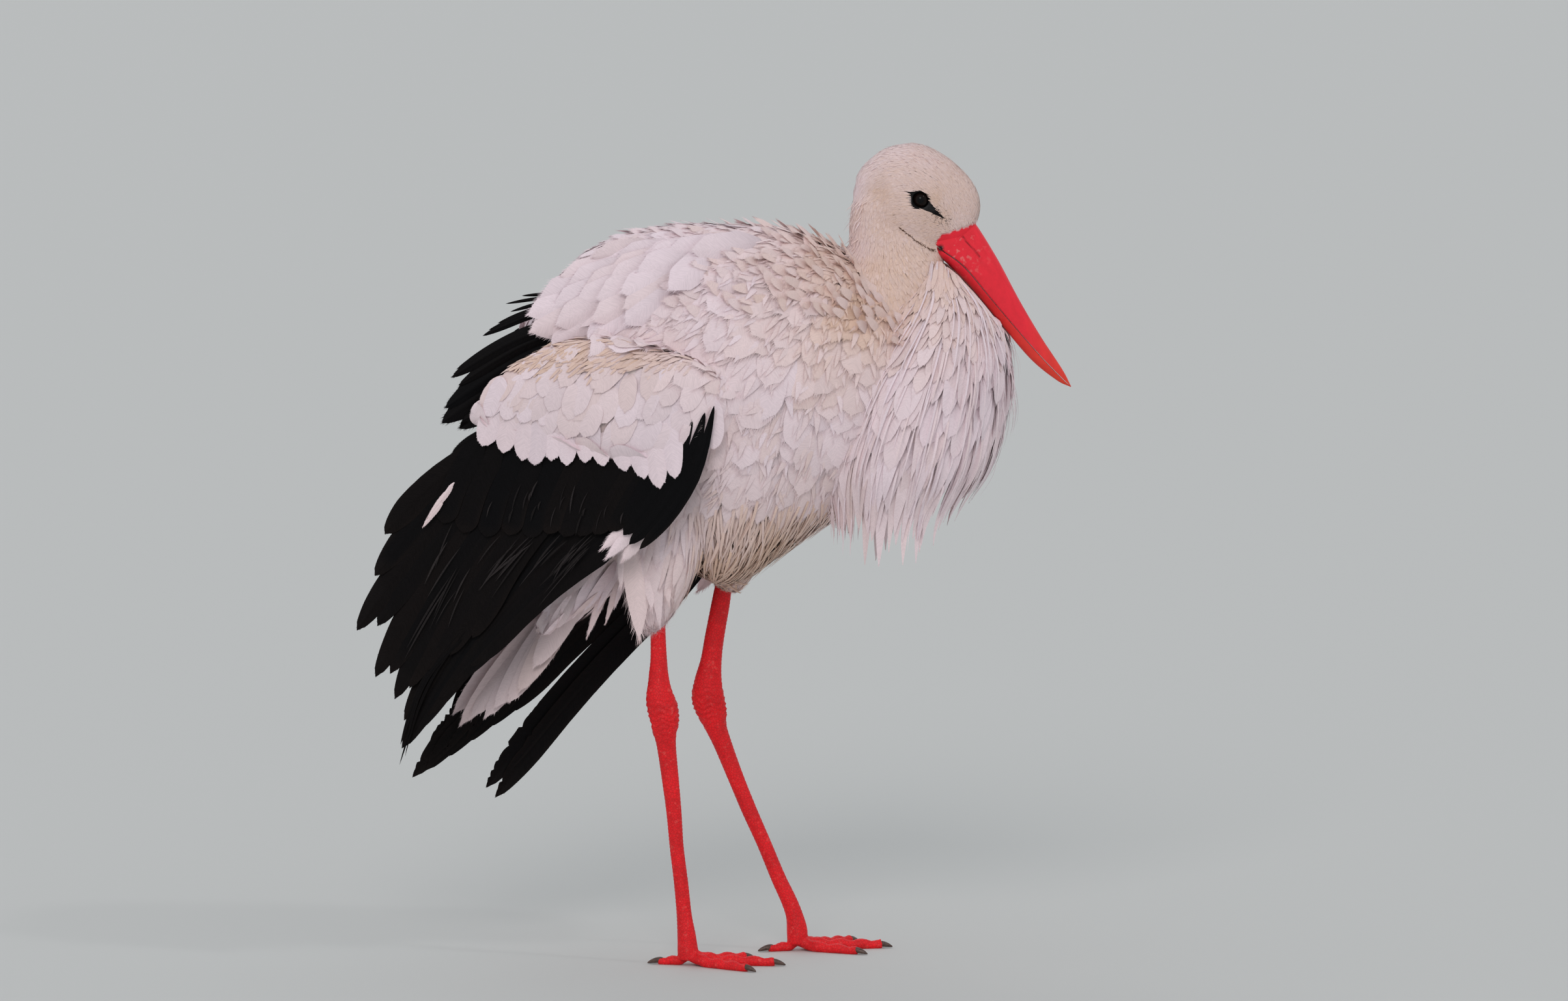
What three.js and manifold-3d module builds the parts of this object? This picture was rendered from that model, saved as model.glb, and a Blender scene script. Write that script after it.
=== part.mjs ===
// White stork at life size, standing hunched with its neck drawn in, its breast plumes hanging and
// both wings held loose. Millimetres, +X towards the bill, +Y towards the bird's left, +Z up.
import * as THREE from "three";
import { mergeVertices } from "three/addons/utils/BufferGeometryUtils.js";
import Module from "manifold-3d";

const wasm = await Module();
wasm.setup();

// ---- Driving dimensions ---------------------------------------------------------------------

const GAP = 0.35; // clear space between neighbouring pieces
const RIGHT = -1;
const LEFT = 1;

// Head: stations run from the back of the crown down to the base of the bill.
const HEAD = [
  { x: 104, z: 694, up: 9, side: 6 },
  { x: 113, z: 690, up: 34, side: 21 },
  { x: 129, z: 679, up: 47, side: 29 },
  { x: 150, z: 665, up: 48.5, side: 31 },
  { x: 172, z: 649, up: 43, side: 25 },
  { x: 184, z: 634.5, up: 28.5, side: 19 },
  { x: 189, z: 628.5, up: 18, side: 13 },
];
const EYE = { x: 154.5, y: 22.6, z: 672, radius: 8 };

// Neck: drawn in, so only its upper part stands clear of the trunk.
const NECK = [
  { x: 96, z: 545, up: 60, side: 50 },
  { x: 126, z: 590, up: 50, side: 43 },
  { x: 133, z: 622, up: 43, side: 35 },
  { x: 130, z: 652, up: 39, side: 30 },
  { x: 129, z: 669, up: 33, side: 24 },
  { x: 133, z: 680, up: 12, side: 10 },
];

// Bill: a straight wedge from the face to the tip, split along the line of the mouth.
const BILL = {
  base: { x: 183, z: 637, up: 21.5, side: 12.5 },
  middle: { x: 222, z: 585, up: 13.8, side: 8.5 },
  far: { x: 256, z: 543.5, up: 8.6, side: 5.2 },
  tip: { x: 287, z: 506.5, up: 1.2, side: 0.9 },
};
const MOUTH = { x: 172, z: 625, tipX: 286.4, tipZ: 507 };

// Trunk with its coat: the outline from the side, and the half width, at stations along X.
const TRUNK = [
  { x: -192, top: 566, bottom: 548, side: 6 },
  { x: -168, top: 594, bottom: 500, side: 44 },
  { x: -128, top: 630, bottom: 432, side: 72 },
  { x: -78, top: 646, bottom: 376, side: 90 },
  { x: -20, top: 649, bottom: 336, side: 98 },
  { x: 34, top: 646, bottom: 362, side: 95 },
  { x: 84, top: 630, bottom: 394, side: 84 },
  { x: 130, top: 598, bottom: 410, side: 70 },
  { x: 168, top: 566, bottom: 432, side: 48 },
  { x: 190, top: 520, bottom: 470, side: 16 },
];

// Ruff: the bib of long plumes that hangs in front of the breast.
const RUFF = [
  { x: 172, z: 604, up: 26, side: 32 },
  { x: 172, z: 574, up: 52, side: 56 },
  { x: 160, z: 530, up: 77, side: 80 },
  { x: 147, z: 480, up: 86, side: 91 },
  { x: 138, z: 436, up: 82, side: 90 },
  { x: 131, z: 390, up: 61, side: 73 },
];
const PLUMES = {
  count: 16,
  spreadDeg: 140, // either side of straight ahead
  root: { x: 140, z: 462, forward: 72, side: 78 },
  tip: { x: 128, z: 361, forward: 66, side: 74 },
  frontRise: 34, // how much higher the front tips end than the side ones
  backRise: 30,
  radius: 17,
};

// Tail: closed, pointing steeply down between the wings.
const TAIL = [
  { x: -72, z: 432, up: 36, side: 36 },
  { x: -112, z: 372, up: 36, side: 43 },
  { x: -158, z: 308, up: 31, side: 43 },
  { x: -200, z: 256, up: 22, side: 38 },
  { x: -222, z: 230, up: 13, side: 33 },
];
const TAIL_FEATHERS = { count: 6, length: 66, halfSpread: 26, radius: 12 };

// Wing: places are (x, z) on the wing's own surface, which stands `out` from the middle of the bird.
const WING_OUT = { front: 106, fadeFrom: -40, slope: 0.235, least: 42, topFrom: 505, topCurve: 0.006 };
const LAYER = 2.6; // thickness of one layer of flight feathers
const WING_GRID = { xLow: -350, xHigh: 20, zLow: 150, zHigh: 580, columns: 6, rows: 5 };
const PRIMARIES = {
  count: 7,
  width: 17,
  roots: [{ x: -112, z: 396 }, { x: -132, z: 412 }, { x: -150, z: 432 }],
  tips: [{ x: -303, z: 194 }, { x: -310, z: 216 }, { x: -318, z: 246 }],
};
const SECONDARIES = {
  count: 10,
  width: 18,
  roots: [{ x: -88, z: 440 }, { x: -140, z: 455 }, { x: -200, z: 478 }],
  tips: [
    { x: -262, z: 238 }, { x: -322, z: 260 }, { x: -338, z: 300 }, { x: -330, z: 345 }, { x: -312, z: 384 },
  ],
};
const GREATER_COVERTS = {
  count: 9,
  width: 19,
  roots: [{ x: -20, z: 492 }, { x: -90, z: 480 }, { x: -205, z: 490 }],
  tips: [{ x: -92, z: 372 }, { x: -150, z: 384 }, { x: -215, z: 378 }, { x: -262, z: 402 }],
};
const MEDIAN_COVERTS = {
  count: 9,
  width: 17,
  roots: [{ x: -40, z: 490 }, { x: -120, z: 490 }, { x: -212, z: 500 }],
  tips: [{ x: -38, z: 456 }, { x: -76, z: 430 }, { x: -150, z: 446 }, { x: -234, z: 462 }],
};
const SHIELD = [
  { x: -10, z: 492, up: 12, side: 8 },
  { x: -32, z: 496, up: 36, side: 14 },
  { x: -84, z: 501, up: 52, side: 19 },
  { x: -138, z: 506, up: 52, side: 19 },
  { x: -186, z: 501, up: 37, side: 16 },
  { x: -218, z: 489, up: 20, side: 10 },
  { x: -231, z: 482, up: 8, side: 4 },
];
// The left wing hangs lower and further forward than the right one.
const WING_HANG = {
  [RIGHT]: { forward: 0, down: 0 },
  [LEFT]: { forward: 63, down: 49 },
};

// Long black scapulars that lift behind the back.
const SCAPULARS = {
  [RIGHT]: {
    out: 50, count: 4, width: 12,
    roots: [{ x: -150, z: 552 }, { x: -150, z: 500 }],
    tips: [{ x: -252, z: 520 }, { x: -262, z: 482 }, { x: -256, z: 452 }],
  },
  [LEFT]: {
    out: 34, count: 4, width: 11,
    roots: [{ x: -150, z: 575 }, { x: -150, z: 540 }],
    tips: [{ x: -196, z: 583 }, { x: -226, z: 558 }, { x: -250, z: 512 }],
  },
};

// Legs: the bare shank, the heel joint, the tarsus and the foot.
const LEGS = {
  [RIGHT]: {
    y: 42, hip: { x: -58, z: 420 }, cuff: { x: -84, z: 296 }, thighUp: 40,
    knee: { x: -78, z: 372 }, heel: { x: -69, z: 219 }, shankUp: 6.9,
    ankle: { x: -49, z: 20 }, toeTurnDeg: 4,
  },
  [LEFT]: {
    y: 42, hip: { x: 2, z: 400 }, cuff: { x: -15, z: 322 }, thighUp: 34,
    knee: { x: -8, z: 378 }, heel: { x: -31, z: 212 }, shankUp: 8.6,
    ankle: { x: 47, z: 20 }, toeTurnDeg: 10,
  },
};
const SHANK_SIDE = 6.2;
const HEEL = { up: 12.4, side: 9.2, reach: 15 };
const TARSUS = { up: 5.8, side: 5.0 };
const TOES = [
  { name: "inner", turnDeg: -34, length: 58, radius: 5.0 },
  { name: "middle", turnDeg: 0, length: 76, radius: 5.4 },
  { name: "outer", turnDeg: 32, length: 64, radius: 5.0 },
  { name: "hind", turnDeg: 186, length: 26, radius: 4.4 },
];
const CLAW = { length: 10, radius: 3.0 };

const COLOURS = {
  white: 0xe9e2da, cream: 0xd9c6a8, black: 0x14110f,
  bill: 0xd8201a, leg: 0xd4241a, eye: 0x0d0a09, claw: 0x3b2c28,
};

// ---- Shape helpers --------------------------------------------------------------------------

const mm = THREE.MathUtils;
const Y_AXIS = new THREE.Vector3(0, 1, 0);

// A closed surface of triangles as a solid that faces out.
function solidOf(geometry) {
  const bare = geometry.clone();
  bare.deleteAttribute("normal");
  bare.deleteAttribute("uv");
  const merged = mergeVertices(bare, 1e-3);
  const triVerts = new Uint32Array(merged.index.array);
  const vertProperties = new Float32Array(merged.attributes.position.array);
  const make = () => new wasm.Manifold(new wasm.Mesh({ numProp: 3, vertProperties, triVerts }));
  const made = make();
  if (made.volume() > 0) return made;
  for (let i = 0; i < triVerts.length; i += 3) {
    [triVerts[i + 1], triVerts[i + 2]] = [triVerts[i + 2], triVerts[i + 1]];
  }
  return make();
}

// The largest body of a solid, so that a cut leaves no loose slivers.
const mainBody = (solid) => solid.decompose().reduce((a, b) => (b.volume() > a.volume() ? b : a));
const join = (solids) => solids.reduce((a, b) => a.add(b));
const cutBy = (solid, ...cutters) => mainBody(cutters.reduce((a, b) => a.subtract(b), solid));

// Rows of points, each a closed ring, skinned into one closed surface with a fan at either end.
function skinRings(rings) {
  const count = rings[0].length;
  const points = rings.flat();
  const middle = (ring) => ring.reduce((a, p) => a.add(p), new THREE.Vector3()).divideScalar(ring.length);
  const first = points.length;
  points.push(middle(rings[0]), middle(rings[rings.length - 1]));
  const index = [];
  for (let r = 0; r + 1 < rings.length; r++) {
    for (let i = 0; i < count; i++) {
      const [a, b] = [r * count + i, r * count + ((i + 1) % count)];
      index.push(a, b, b + count, a, b + count, a + count);
    }
  }
  const last = (rings.length - 1) * count;
  for (let i = 0; i < count; i++) {
    const next = (i + 1) % count;
    index.push(first, next, i, first + 1, last + i, last + next);
  }
  return new THREE.BufferGeometry().setFromPoints(points).setIndex(index);
}

// An oval tube through stations {x, y, z, up, side}: `side` is its half width along Y, `up` the half
// size across it. `grow` makes the same tube fatter, for cutting clearances.
function loft(stations, { steps = 12, sides = 16, grow = 0 } = {}) {
  const places = new THREE.CatmullRomCurve3(stations.map((s) => new THREE.Vector3(s.x, s.y ?? 0, s.z)));
  const sizes = new THREE.CatmullRomCurve3(stations.map((s) => new THREE.Vector3(s.up, s.side, 0)));
  const rings = [];
  for (let i = 0; i <= steps; i++) {
    const t = i / steps;
    const along = places.getTangent(t);
    const centre = places.getPoint(t).addScaledVector(along, i === 0 ? -grow : i === steps ? grow : 0);
    const size = sizes.getPoint(t);
    const across = Y_AXIS.clone().addScaledVector(along, -along.y).normalize();
    const upward = new THREE.Vector3().crossVectors(along, across);
    rings.push(
      Array.from({ length: sides }, (_, k) => {
        const a = (k / sides) * Math.PI * 2;
        return centre
          .clone()
          .addScaledVector(upward, Math.cos(a) * (size.x + grow))
          .addScaledVector(across, Math.sin(a) * (size.y + grow));
      }),
    );
  }
  return solidOf(skinRings(rings));
}

// The same along X, from a top and a bottom outline.
function hull(stations, options = {}) {
  const { steps = 14, sides = 20, grow = 0 } = options;
  const outline = new THREE.CatmullRomCurve3(stations.map((s) => new THREE.Vector3(s.top, s.bottom, s.side)));
  const along = new THREE.CatmullRomCurve3(stations.map((s) => new THREE.Vector3(s.x, 0, 0)));
  const rings = [];
  for (let i = 0; i <= steps; i++) {
    const t = i / steps;
    const { x: top, y: bottom, z: side } = outline.getPoint(t);
    const x = along.getPoint(t).x + (i === 0 ? -grow : i === steps ? grow : 0);
    rings.push(
      Array.from({ length: sides }, (_, k) => {
        const a = (k / sides) * Math.PI * 2;
        const up = (top - bottom) / 2 + grow;
        return new THREE.Vector3(x, Math.sin(a) * (side + grow), (top + bottom) / 2 + Math.cos(a) * up);
      }),
    );
  }
  return solidOf(skinRings(rings));
}

// A small repeatable unevenness from -1 to 1, so that neighbouring feathers differ.
const unevenness = (i) => Math.sin(i * 2.4 + 1);

// A point a share t of the way along a smooth line through a few places.
function alongLine(places, t) {
  const line = new THREE.CatmullRomCurve3(places.map((p) => new THREE.Vector3(p.x, 0, p.z)));
  return line.getPoint(t);
}

// The outline of one flat feather, pushed right through the wing along Y.
function featherPrism(root, tip, width) {
  const along = new THREE.Vector2(tip.x - root.x, tip.z - root.z);
  const across = new THREE.Vector2(-along.y, along.x).normalize();
  const profile = [[0, 0.45], [0.35, 0.85], [0.75, 1], [0.93, 0.7]];
  const place = ([s, w], sign) =>
    new THREE.Vector2(root.x, root.z).addScaledVector(along, s).addScaledVector(across, sign * w * width);
  const shape = new THREE.Shape([
    ...profile.map((p) => place(p, 1)),
    new THREE.Vector2(tip.x, tip.z),
    ...profile.map((p) => place(p, -1)).reverse(),
  ]);
  const depth = 400;
  const prism = new THREE.ExtrudeGeometry(shape, { depth, bevelEnabled: false });
  prism.rotateX(Math.PI / 2).translate(0, depth / 2, 0);
  return solidOf(prism);
}

// A fan of overlapping feathers whose roots and tips follow two smooth lines.
function featherFan({ count, width, roots, tips }, hang = { forward: 0, down: 0 }) {
  const moved = (p) => ({ x: p.x + hang.forward, z: p.z - hang.down });
  return join(
    Array.from({ length: count }, (_, i) => {
      const t = i / (count - 1);
      const [root, tip] = [moved(alongLine(roots, t)), moved(alongLine(tips, t))];
      const reach = 1 + 0.03 * unevenness(i);
      const end = { x: mm.lerp(root.x, tip.x, reach), z: mm.lerp(root.z, tip.z, reach) };
      return featherPrism(root, end, width);
    }),
  );
}

// How far the wing's surface stands from the middle of the bird.
function wingOut(x, z) {
  const behind = Math.max(0, WING_OUT.fadeFrom - x);
  const above = Math.max(0, z - WING_OUT.topFrom);
  const out = WING_OUT.front - WING_OUT.slope * behind - WING_OUT.topCurve * above * above;
  return Math.max(WING_OUT.least, out);
}

// The curved slab of one layer of feathers, from `inner` to `outer` beyond the wing's surface.
function wingSlab(side, inner, outer, hang) {
  const { xLow, xHigh, zLow, zHigh, columns, rows } = WING_GRID;
  const sheet = (offset) => {
    const points = [];
    for (let r = 0; r <= rows; r++) {
      for (let c = 0; c <= columns; c++) {
        const [x, z] = [mm.lerp(xLow, xHigh, c / columns), mm.lerp(zLow, zHigh, r / rows)];
        const out = offset === null ? 0 : wingOut(x, z) + offset;
        points.push(new THREE.Vector3(x + hang.forward, side * out, z - hang.down));
      }
    }
    return points;
  };
  const points = [...sheet(inner), ...sheet(outer)];
  const wide = columns + 1;
  const half = wide * (rows + 1);
  const index = [];
  const quad = (a, b, c, d) => index.push(a, b, c, a, c, d);
  for (let r = 0; r < rows; r++) {
    for (let c = 0; c < columns; c++) {
      const a = r * wide + c;
      quad(a, a + 1, a + wide + 1, a + wide);
      quad(half + a, half + a + wide, half + a + wide + 1, half + a + 1);
    }
  }
  const rim = [
    ...Array.from({ length: columns }, (_, c) => c),
    ...Array.from({ length: rows }, (_, r) => r * wide + columns),
    ...Array.from({ length: columns }, (_, c) => rows * wide + columns - c),
    ...Array.from({ length: rows }, (_, r) => (rows - r) * wide),
  ];
  rim.forEach((a, i) => {
    const b = rim[(i + 1) % rim.length];
    quad(b, a, half + a, half + b);
  });
  return solidOf(new THREE.BufferGeometry().setFromPoints(points).setIndex(index));
}

// A pointed, slightly flattened spike from one place to another.
function spike(from, to, radius, flat = 1, sides = 5) {
  const between = new THREE.Vector3().subVectors(to, from);
  const cone = new THREE.ConeGeometry(radius, between.length(), sides);
  cone.translate(0, between.length() / 2, 0).scale(1, 1, flat);
  const turn = new THREE.Quaternion().setFromUnitVectors(Y_AXIS, between.clone().normalize());
  cone.applyQuaternion(turn).translate(from.x, from.y, from.z);
  return solidOf(cone);
}

// A block that covers everything on one side of a level, for flat soles.
function blockBelow(z) {
  const size = 2000;
  return solidOf(new THREE.BoxGeometry(size, size, size).translate(0, 0, z - size / 2));
}

// ---- The bird -------------------------------------------------------------------------------

const part = new THREE.Group();

function addNode(name, solid, colour, roughness = 0.8) {
  const { vertProperties, triVerts } = solid.getMesh();
  const geometry = new THREE.BufferGeometry();
  geometry.setAttribute("position", new THREE.BufferAttribute(new Float32Array(vertProperties), 3));
  geometry.setIndex(new THREE.BufferAttribute(new Uint32Array(triVerts), 1));
  geometry.computeVertexNormals();
  const material = new THREE.MeshStandardMaterial({ color: colour, roughness, metalness: 0 });
  const mesh = new THREE.Mesh(geometry, material);
  mesh.name = name;
  part.add(mesh);
}

const sideName = (side) => (side === RIGHT ? "right" : "left");

const headShape = (grow = 0) => loft(HEAD, { steps: 10, sides: 16, grow });
const neckShape = (grow = 0) => loft(NECK, { steps: 6, sides: 14, grow });
const trunkShape = (grow = 0) => hull(TRUNK, { grow });
const eyeShape = (side, grow = 0) =>
  solidOf(new THREE.SphereGeometry(EYE.radius + grow, 10, 7).translate(EYE.x, side * EYE.y, EYE.z));
const billShape = (grow = 0) =>
  loft([BILL.base, BILL.middle, BILL.far, BILL.tip], { steps: 6, sides: 12, grow });

// The half of space below the line of the mouth, as a big block; `lift` moves the cut up.
function underMouth(lift) {
  const [length, depth] = [400, 200];
  const angle = Math.atan2(MOUTH.tipZ - MOUTH.z, MOUTH.tipX - MOUTH.x);
  const block = new THREE.BoxGeometry(length, depth, depth).translate(length / 2 - 60, 0, lift - depth / 2);
  return solidOf(block.rotateY(-angle).translate(MOUTH.x, 0, MOUTH.z));
}

function buildHead() {
  const bill = billShape();
  const head = cutBy(headShape(), billShape(GAP), eyeShape(RIGHT, GAP), eyeShape(LEFT, GAP));
  addNode("head", head, COLOURS.white);
  addNode("eye_right", eyeShape(RIGHT), COLOURS.eye, 0.1);
  addNode("eye_left", eyeShape(LEFT), COLOURS.eye, 0.1);
  addNode("bill_upper", cutBy(bill, underMouth(GAP / 2)), COLOURS.bill, 0.4);
  addNode("bill_lower", mainBody(bill.intersect(underMouth(-GAP / 2))), COLOURS.bill, 0.4);
}

// The plumes that fringe the foot of the ruff, each a flattened spike.
function ruffPlumes() {
  return Array.from({ length: PLUMES.count }, (_, i) => {
    const turn = mm.degToRad(mm.lerp(-PLUMES.spreadDeg, PLUMES.spreadDeg, i / (PLUMES.count - 1)));
    const at = (end, rise = 0) =>
      new THREE.Vector3(end.x + Math.cos(turn) * end.forward, Math.sin(turn) * end.side, end.z + rise);
    const ahead = Math.cos(turn);
    const rise = ahead > 0 ? PLUMES.frontRise * ahead ** 2 : PLUMES.backRise * ahead ** 2;
    return spike(at(PLUMES.root), at(PLUMES.tip, rise + unevenness(i) * 9), PLUMES.radius, 0.8);
  });
}

const ruffShape = () => join([loft(RUFF, { steps: 7, sides: 14 }), ...ruffPlumes()]);

function buildBody() {
  addNode("trunk", trunkShape(), COLOURS.white);
  addNode("neck", cutBy(neckShape(), trunkShape(GAP), headShape(GAP), billShape(GAP)), COLOURS.cream);
  const ruff = cutBy(ruffShape(), trunkShape(GAP), headShape(GAP), neckShape(GAP), billShape(GAP));
  addNode("ruff", ruff, COLOURS.white);
}

// The tail with its long coverts, ending in a row of separate tips.
function tailShape() {
  const end = TAIL[TAIL.length - 1];
  const before = TAIL[TAIL.length - 2];
  const down = new THREE.Vector3(end.x - before.x, 0, end.z - before.z).normalize();
  const tips = Array.from({ length: TAIL_FEATHERS.count }, (_, i) => {
    const share = (i / (TAIL_FEATHERS.count - 1)) * 2 - 1;
    const root = new THREE.Vector3(before.x, share * TAIL_FEATHERS.halfSpread, before.z);
    const reach = TAIL_FEATHERS.length * (1 - 0.12 * share * share);
    return spike(root, root.clone().addScaledVector(down, reach), TAIL_FEATHERS.radius);
  });
  return join([loft(TAIL, { steps: 6, sides: 12 }), ...tips]);
}

function buildWing(side) {
  const name = "wing_" + sideName(side);
  const hang = WING_HANG[side];
  const layer = (fan, order) => {
    const inner = order * (LAYER + GAP);
    return mainBody(featherFan(fan, hang).intersect(wingSlab(side, inner, inner + LAYER, hang)));
  };
  const covered = wingSlab(side, null, 3 * (LAYER + GAP), hang);
  const shield = loft(
    SHIELD.map((s) => ({
      ...s, x: s.x + hang.forward, z: s.z - hang.down, y: side * (wingOut(s.x, s.z) + LAYER * 1.5),
    })),
    { steps: 8, sides: 12 },
  );
  // The coverts lie over the flight feathers and reach in to the trunk only above them.
  const wideFan = { ...GREATER_COVERTS, width: GREATER_COVERTS.width + 12 };
  const underside = covered.intersect(featherFan(wideFan, hang));
  const coverts = cutBy(
    shield.add(layer(MEDIAN_COVERTS, 3)),
    trunkShape(GAP),
    underside,
    featherFan(SECONDARIES, hang).intersect(covered),
    featherFan(PRIMARIES, hang).intersect(covered),
  );
  addNode(name + "_coverts", coverts, COLOURS.white);
  addNode(name + "_greater_coverts", cutBy(layer(GREATER_COVERTS, 2), trunkShape(GAP)), COLOURS.black, 0.5);
  addNode(name + "_secondaries", cutBy(layer(SECONDARIES, 1), trunkShape(GAP)), COLOURS.black, 0.5);
  addNode(name + "_primaries", cutBy(layer(PRIMARIES, 0), trunkShape(GAP)), COLOURS.black, 0.5);
  return shield;
}

function buildScapulars(side, shield) {
  const { out, ...fan } = SCAPULARS[side];
  const slab = new THREE.BoxGeometry(600, LAYER, 900).translate(-150, side * out, 450);
  const blades = featherFan(fan).intersect(solidOf(slab));
  addNode("scapulars_" + sideName(side), cutBy(blades, trunkShape(GAP), shield), COLOURS.black, 0.5);
}

// One toe or claw: a tapering tube that lies along the floor with a flat sole.
function digit(start, turnDeg, from, to, radius, endRadius, lift) {
  const turn = mm.degToRad(turnDeg);
  const at = (reach, size) => ({
    x: start.x + Math.cos(turn) * reach, y: start.y + Math.sin(turn) * reach, z: lift + size * 0.55,
  });
  const stations = [radius, mm.lerp(radius, endRadius, 0.55), endRadius].map((size, i) => {
    const place = at(mm.lerp(from, to, i / 2), size);
    return { ...place, size };
  });
  const line = new THREE.CatmullRomCurve3(stations.map((s) => new THREE.Vector3(s.x, s.y, s.z)));
  const [steps, sides] = [2, 6];
  const across = new THREE.Vector3(-Math.sin(turn), Math.cos(turn), 0);
  const rings = Array.from({ length: steps + 1 }, (_, i) => {
    const size = mm.lerp(radius, endRadius, i / steps);
    const centre = line.getPoint(i / steps);
    return Array.from({ length: sides }, (_, k) => {
      const a = (k / sides) * Math.PI * 2;
      return centre
        .clone()
        .addScaledVector(across, Math.sin(a) * size)
        .add(new THREE.Vector3(0, 0, Math.cos(a) * size));
    });
  });
  return solidOf(skinRings(rings));
}

function buildLeg(side) {
  const leg = LEGS[side];
  const name = sideName(side);
  const y = side * leg.y;
  const { hip, cuff, knee, heel, ankle } = leg;
  const floor = blockBelow(0);
  const between = (a, b, t) => ({ x: mm.lerp(a.x, b.x, t), y, z: mm.lerp(a.z, b.z, t) });

  const thighShape = (grow = 0) =>
    loft(
      [
        { ...hip, y, up: leg.thighUp, side: 34 },
        { ...between(hip, cuff, 0.45), up: leg.thighUp * 0.86, side: 30 },
        { ...between(hip, cuff, 0.78), up: leg.thighUp * 0.55, side: 20 },
        { ...cuff, y, up: 9, side: 9 },
      ],
      { steps: 6, sides: 12, grow },
    );
  addNode("thigh_" + name, cutBy(thighShape(), trunkShape(GAP), tail), COLOURS.white);

  const shank = loft(
    [
      { ...knee, y, up: leg.shankUp * 1.25, side: SHANK_SIDE * 1.2 },
      { ...between(knee, heel, 0.4), up: leg.shankUp, side: SHANK_SIDE },
      { ...between(knee, heel, 0.66), up: leg.shankUp, side: SHANK_SIDE },
      { ...between(knee, heel, 0.86), up: leg.shankUp * 1.5, side: HEEL.side * 0.8 },
      { ...heel, y, up: HEEL.up, side: HEEL.side },
      { x: heel.x + 1.5, y, z: heel.z - HEEL.reach, up: HEEL.up * 0.78, side: HEEL.side * 0.8 },
    ],
    { steps: 9, sides: 10 },
  );
  const lower = loft(
    [
      { x: heel.x + 1, y, z: heel.z + 6, up: HEEL.up * 0.9, side: HEEL.side * 0.9 },
      { ...between(heel, ankle, 0.06), up: HEEL.up * 0.93, side: HEEL.side * 0.9 },
      { ...between(heel, ankle, 0.16), up: TARSUS.up * 1.2, side: TARSUS.side * 1.15 },
      { ...between(heel, ankle, 0.5), up: TARSUS.up, side: TARSUS.side },
      { ...between(heel, ankle, 0.88), up: TARSUS.up, side: TARSUS.side },
      { ...ankle, y, up: TARSUS.up * 1.35, side: TARSUS.side * 1.6 },
      { x: ankle.x + 1, y, z: 4, up: TARSUS.up * 1.5, side: TARSUS.side * 1.8 },
    ],
    { steps: 11, sides: 10 },
  );
  const heelCut = (lift) => blockBelow(heel.z - 4 + lift);
  const bareShank = cutBy(shank, thighShape(GAP), trunkShape(GAP), heelCut(GAP / 2));
  addNode("shank_" + name, bareShank, COLOURS.leg, 0.6);
  const footTop = 26;
  const tarsus = mainBody(lower.intersect(heelCut(-GAP / 2)));
  addNode("tarsus_" + name, cutBy(tarsus, blockBelow(footTop + GAP / 2)), COLOURS.leg, 0.6);

  const start = { x: ankle.x, y };
  const turnOf = (toe) => side * (leg.toeTurnDeg + toe.turnDeg);
  const toes = TOES.map((toe) =>
    digit(start, turnOf(toe), 0, toe.length, toe.radius + 1, toe.radius * 0.72, 1),
  );
  const clawEnd = (toe) => toe.length + CLAW.length;
  const claws = TOES.map((toe) =>
    digit(start, turnOf(toe), toe.length - 2, clawEnd(toe), CLAW.radius, 0.5, 0.8).subtract(floor),
  );
  const foot = join([lower.intersect(blockBelow(footTop - GAP / 2)), ...toes]).subtract(floor);
  const clawRoom = TOES.map((toe) =>
    digit(start, turnOf(toe), toe.length - 2 - GAP, clawEnd(toe), CLAW.radius + GAP, 0.5 + GAP, 0.8),
  );
  addNode("foot_" + name, cutBy(foot, ...clawRoom), COLOURS.leg, 0.6);
  claws.forEach((claw, i) => addNode(`claw_${name}_${TOES[i].name}`, mainBody(claw), COLOURS.claw, 0.4));
}

const tail = tailShape();
buildHead();
buildBody();
for (const side of [RIGHT, LEFT]) {
  const shield = buildWing(side);
  buildScapulars(side, shield);
  buildLeg(side);
}
addNode("tail", cutBy(tail, trunkShape(GAP)), COLOURS.white);

// The origin is on the floor, under the middle of the bird's box.
const box = new THREE.Box3().setFromObject(part);
const middle = box.getCenter(new THREE.Vector3());
part.position.set(-middle.x, -middle.y, -box.min.z);

export default part;
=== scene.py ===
"""A white stork at life size, as a still model: one skin, a coat of feathers, bill, eyes and claws.

Shapes are worked out in millimetres in the frame of the solids before they are centred, and turned
into metres of the row frame when a mesh is made. RIGHT is the side nearest the camera.
"""
import itertools
import math
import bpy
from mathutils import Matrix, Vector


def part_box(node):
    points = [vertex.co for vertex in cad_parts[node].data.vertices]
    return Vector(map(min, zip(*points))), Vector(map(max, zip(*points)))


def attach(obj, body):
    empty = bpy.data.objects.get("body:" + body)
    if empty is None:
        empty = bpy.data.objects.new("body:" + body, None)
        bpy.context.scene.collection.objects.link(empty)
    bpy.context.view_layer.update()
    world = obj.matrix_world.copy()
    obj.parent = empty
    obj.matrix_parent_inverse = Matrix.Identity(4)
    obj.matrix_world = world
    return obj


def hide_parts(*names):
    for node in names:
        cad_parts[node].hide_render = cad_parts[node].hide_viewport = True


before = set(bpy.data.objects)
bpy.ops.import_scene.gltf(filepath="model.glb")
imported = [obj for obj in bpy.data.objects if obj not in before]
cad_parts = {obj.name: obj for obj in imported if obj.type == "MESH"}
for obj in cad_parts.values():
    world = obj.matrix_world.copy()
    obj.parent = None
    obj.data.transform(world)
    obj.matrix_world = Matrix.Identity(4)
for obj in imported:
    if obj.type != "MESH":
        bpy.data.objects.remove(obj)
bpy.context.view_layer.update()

from types import SimpleNamespace

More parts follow.
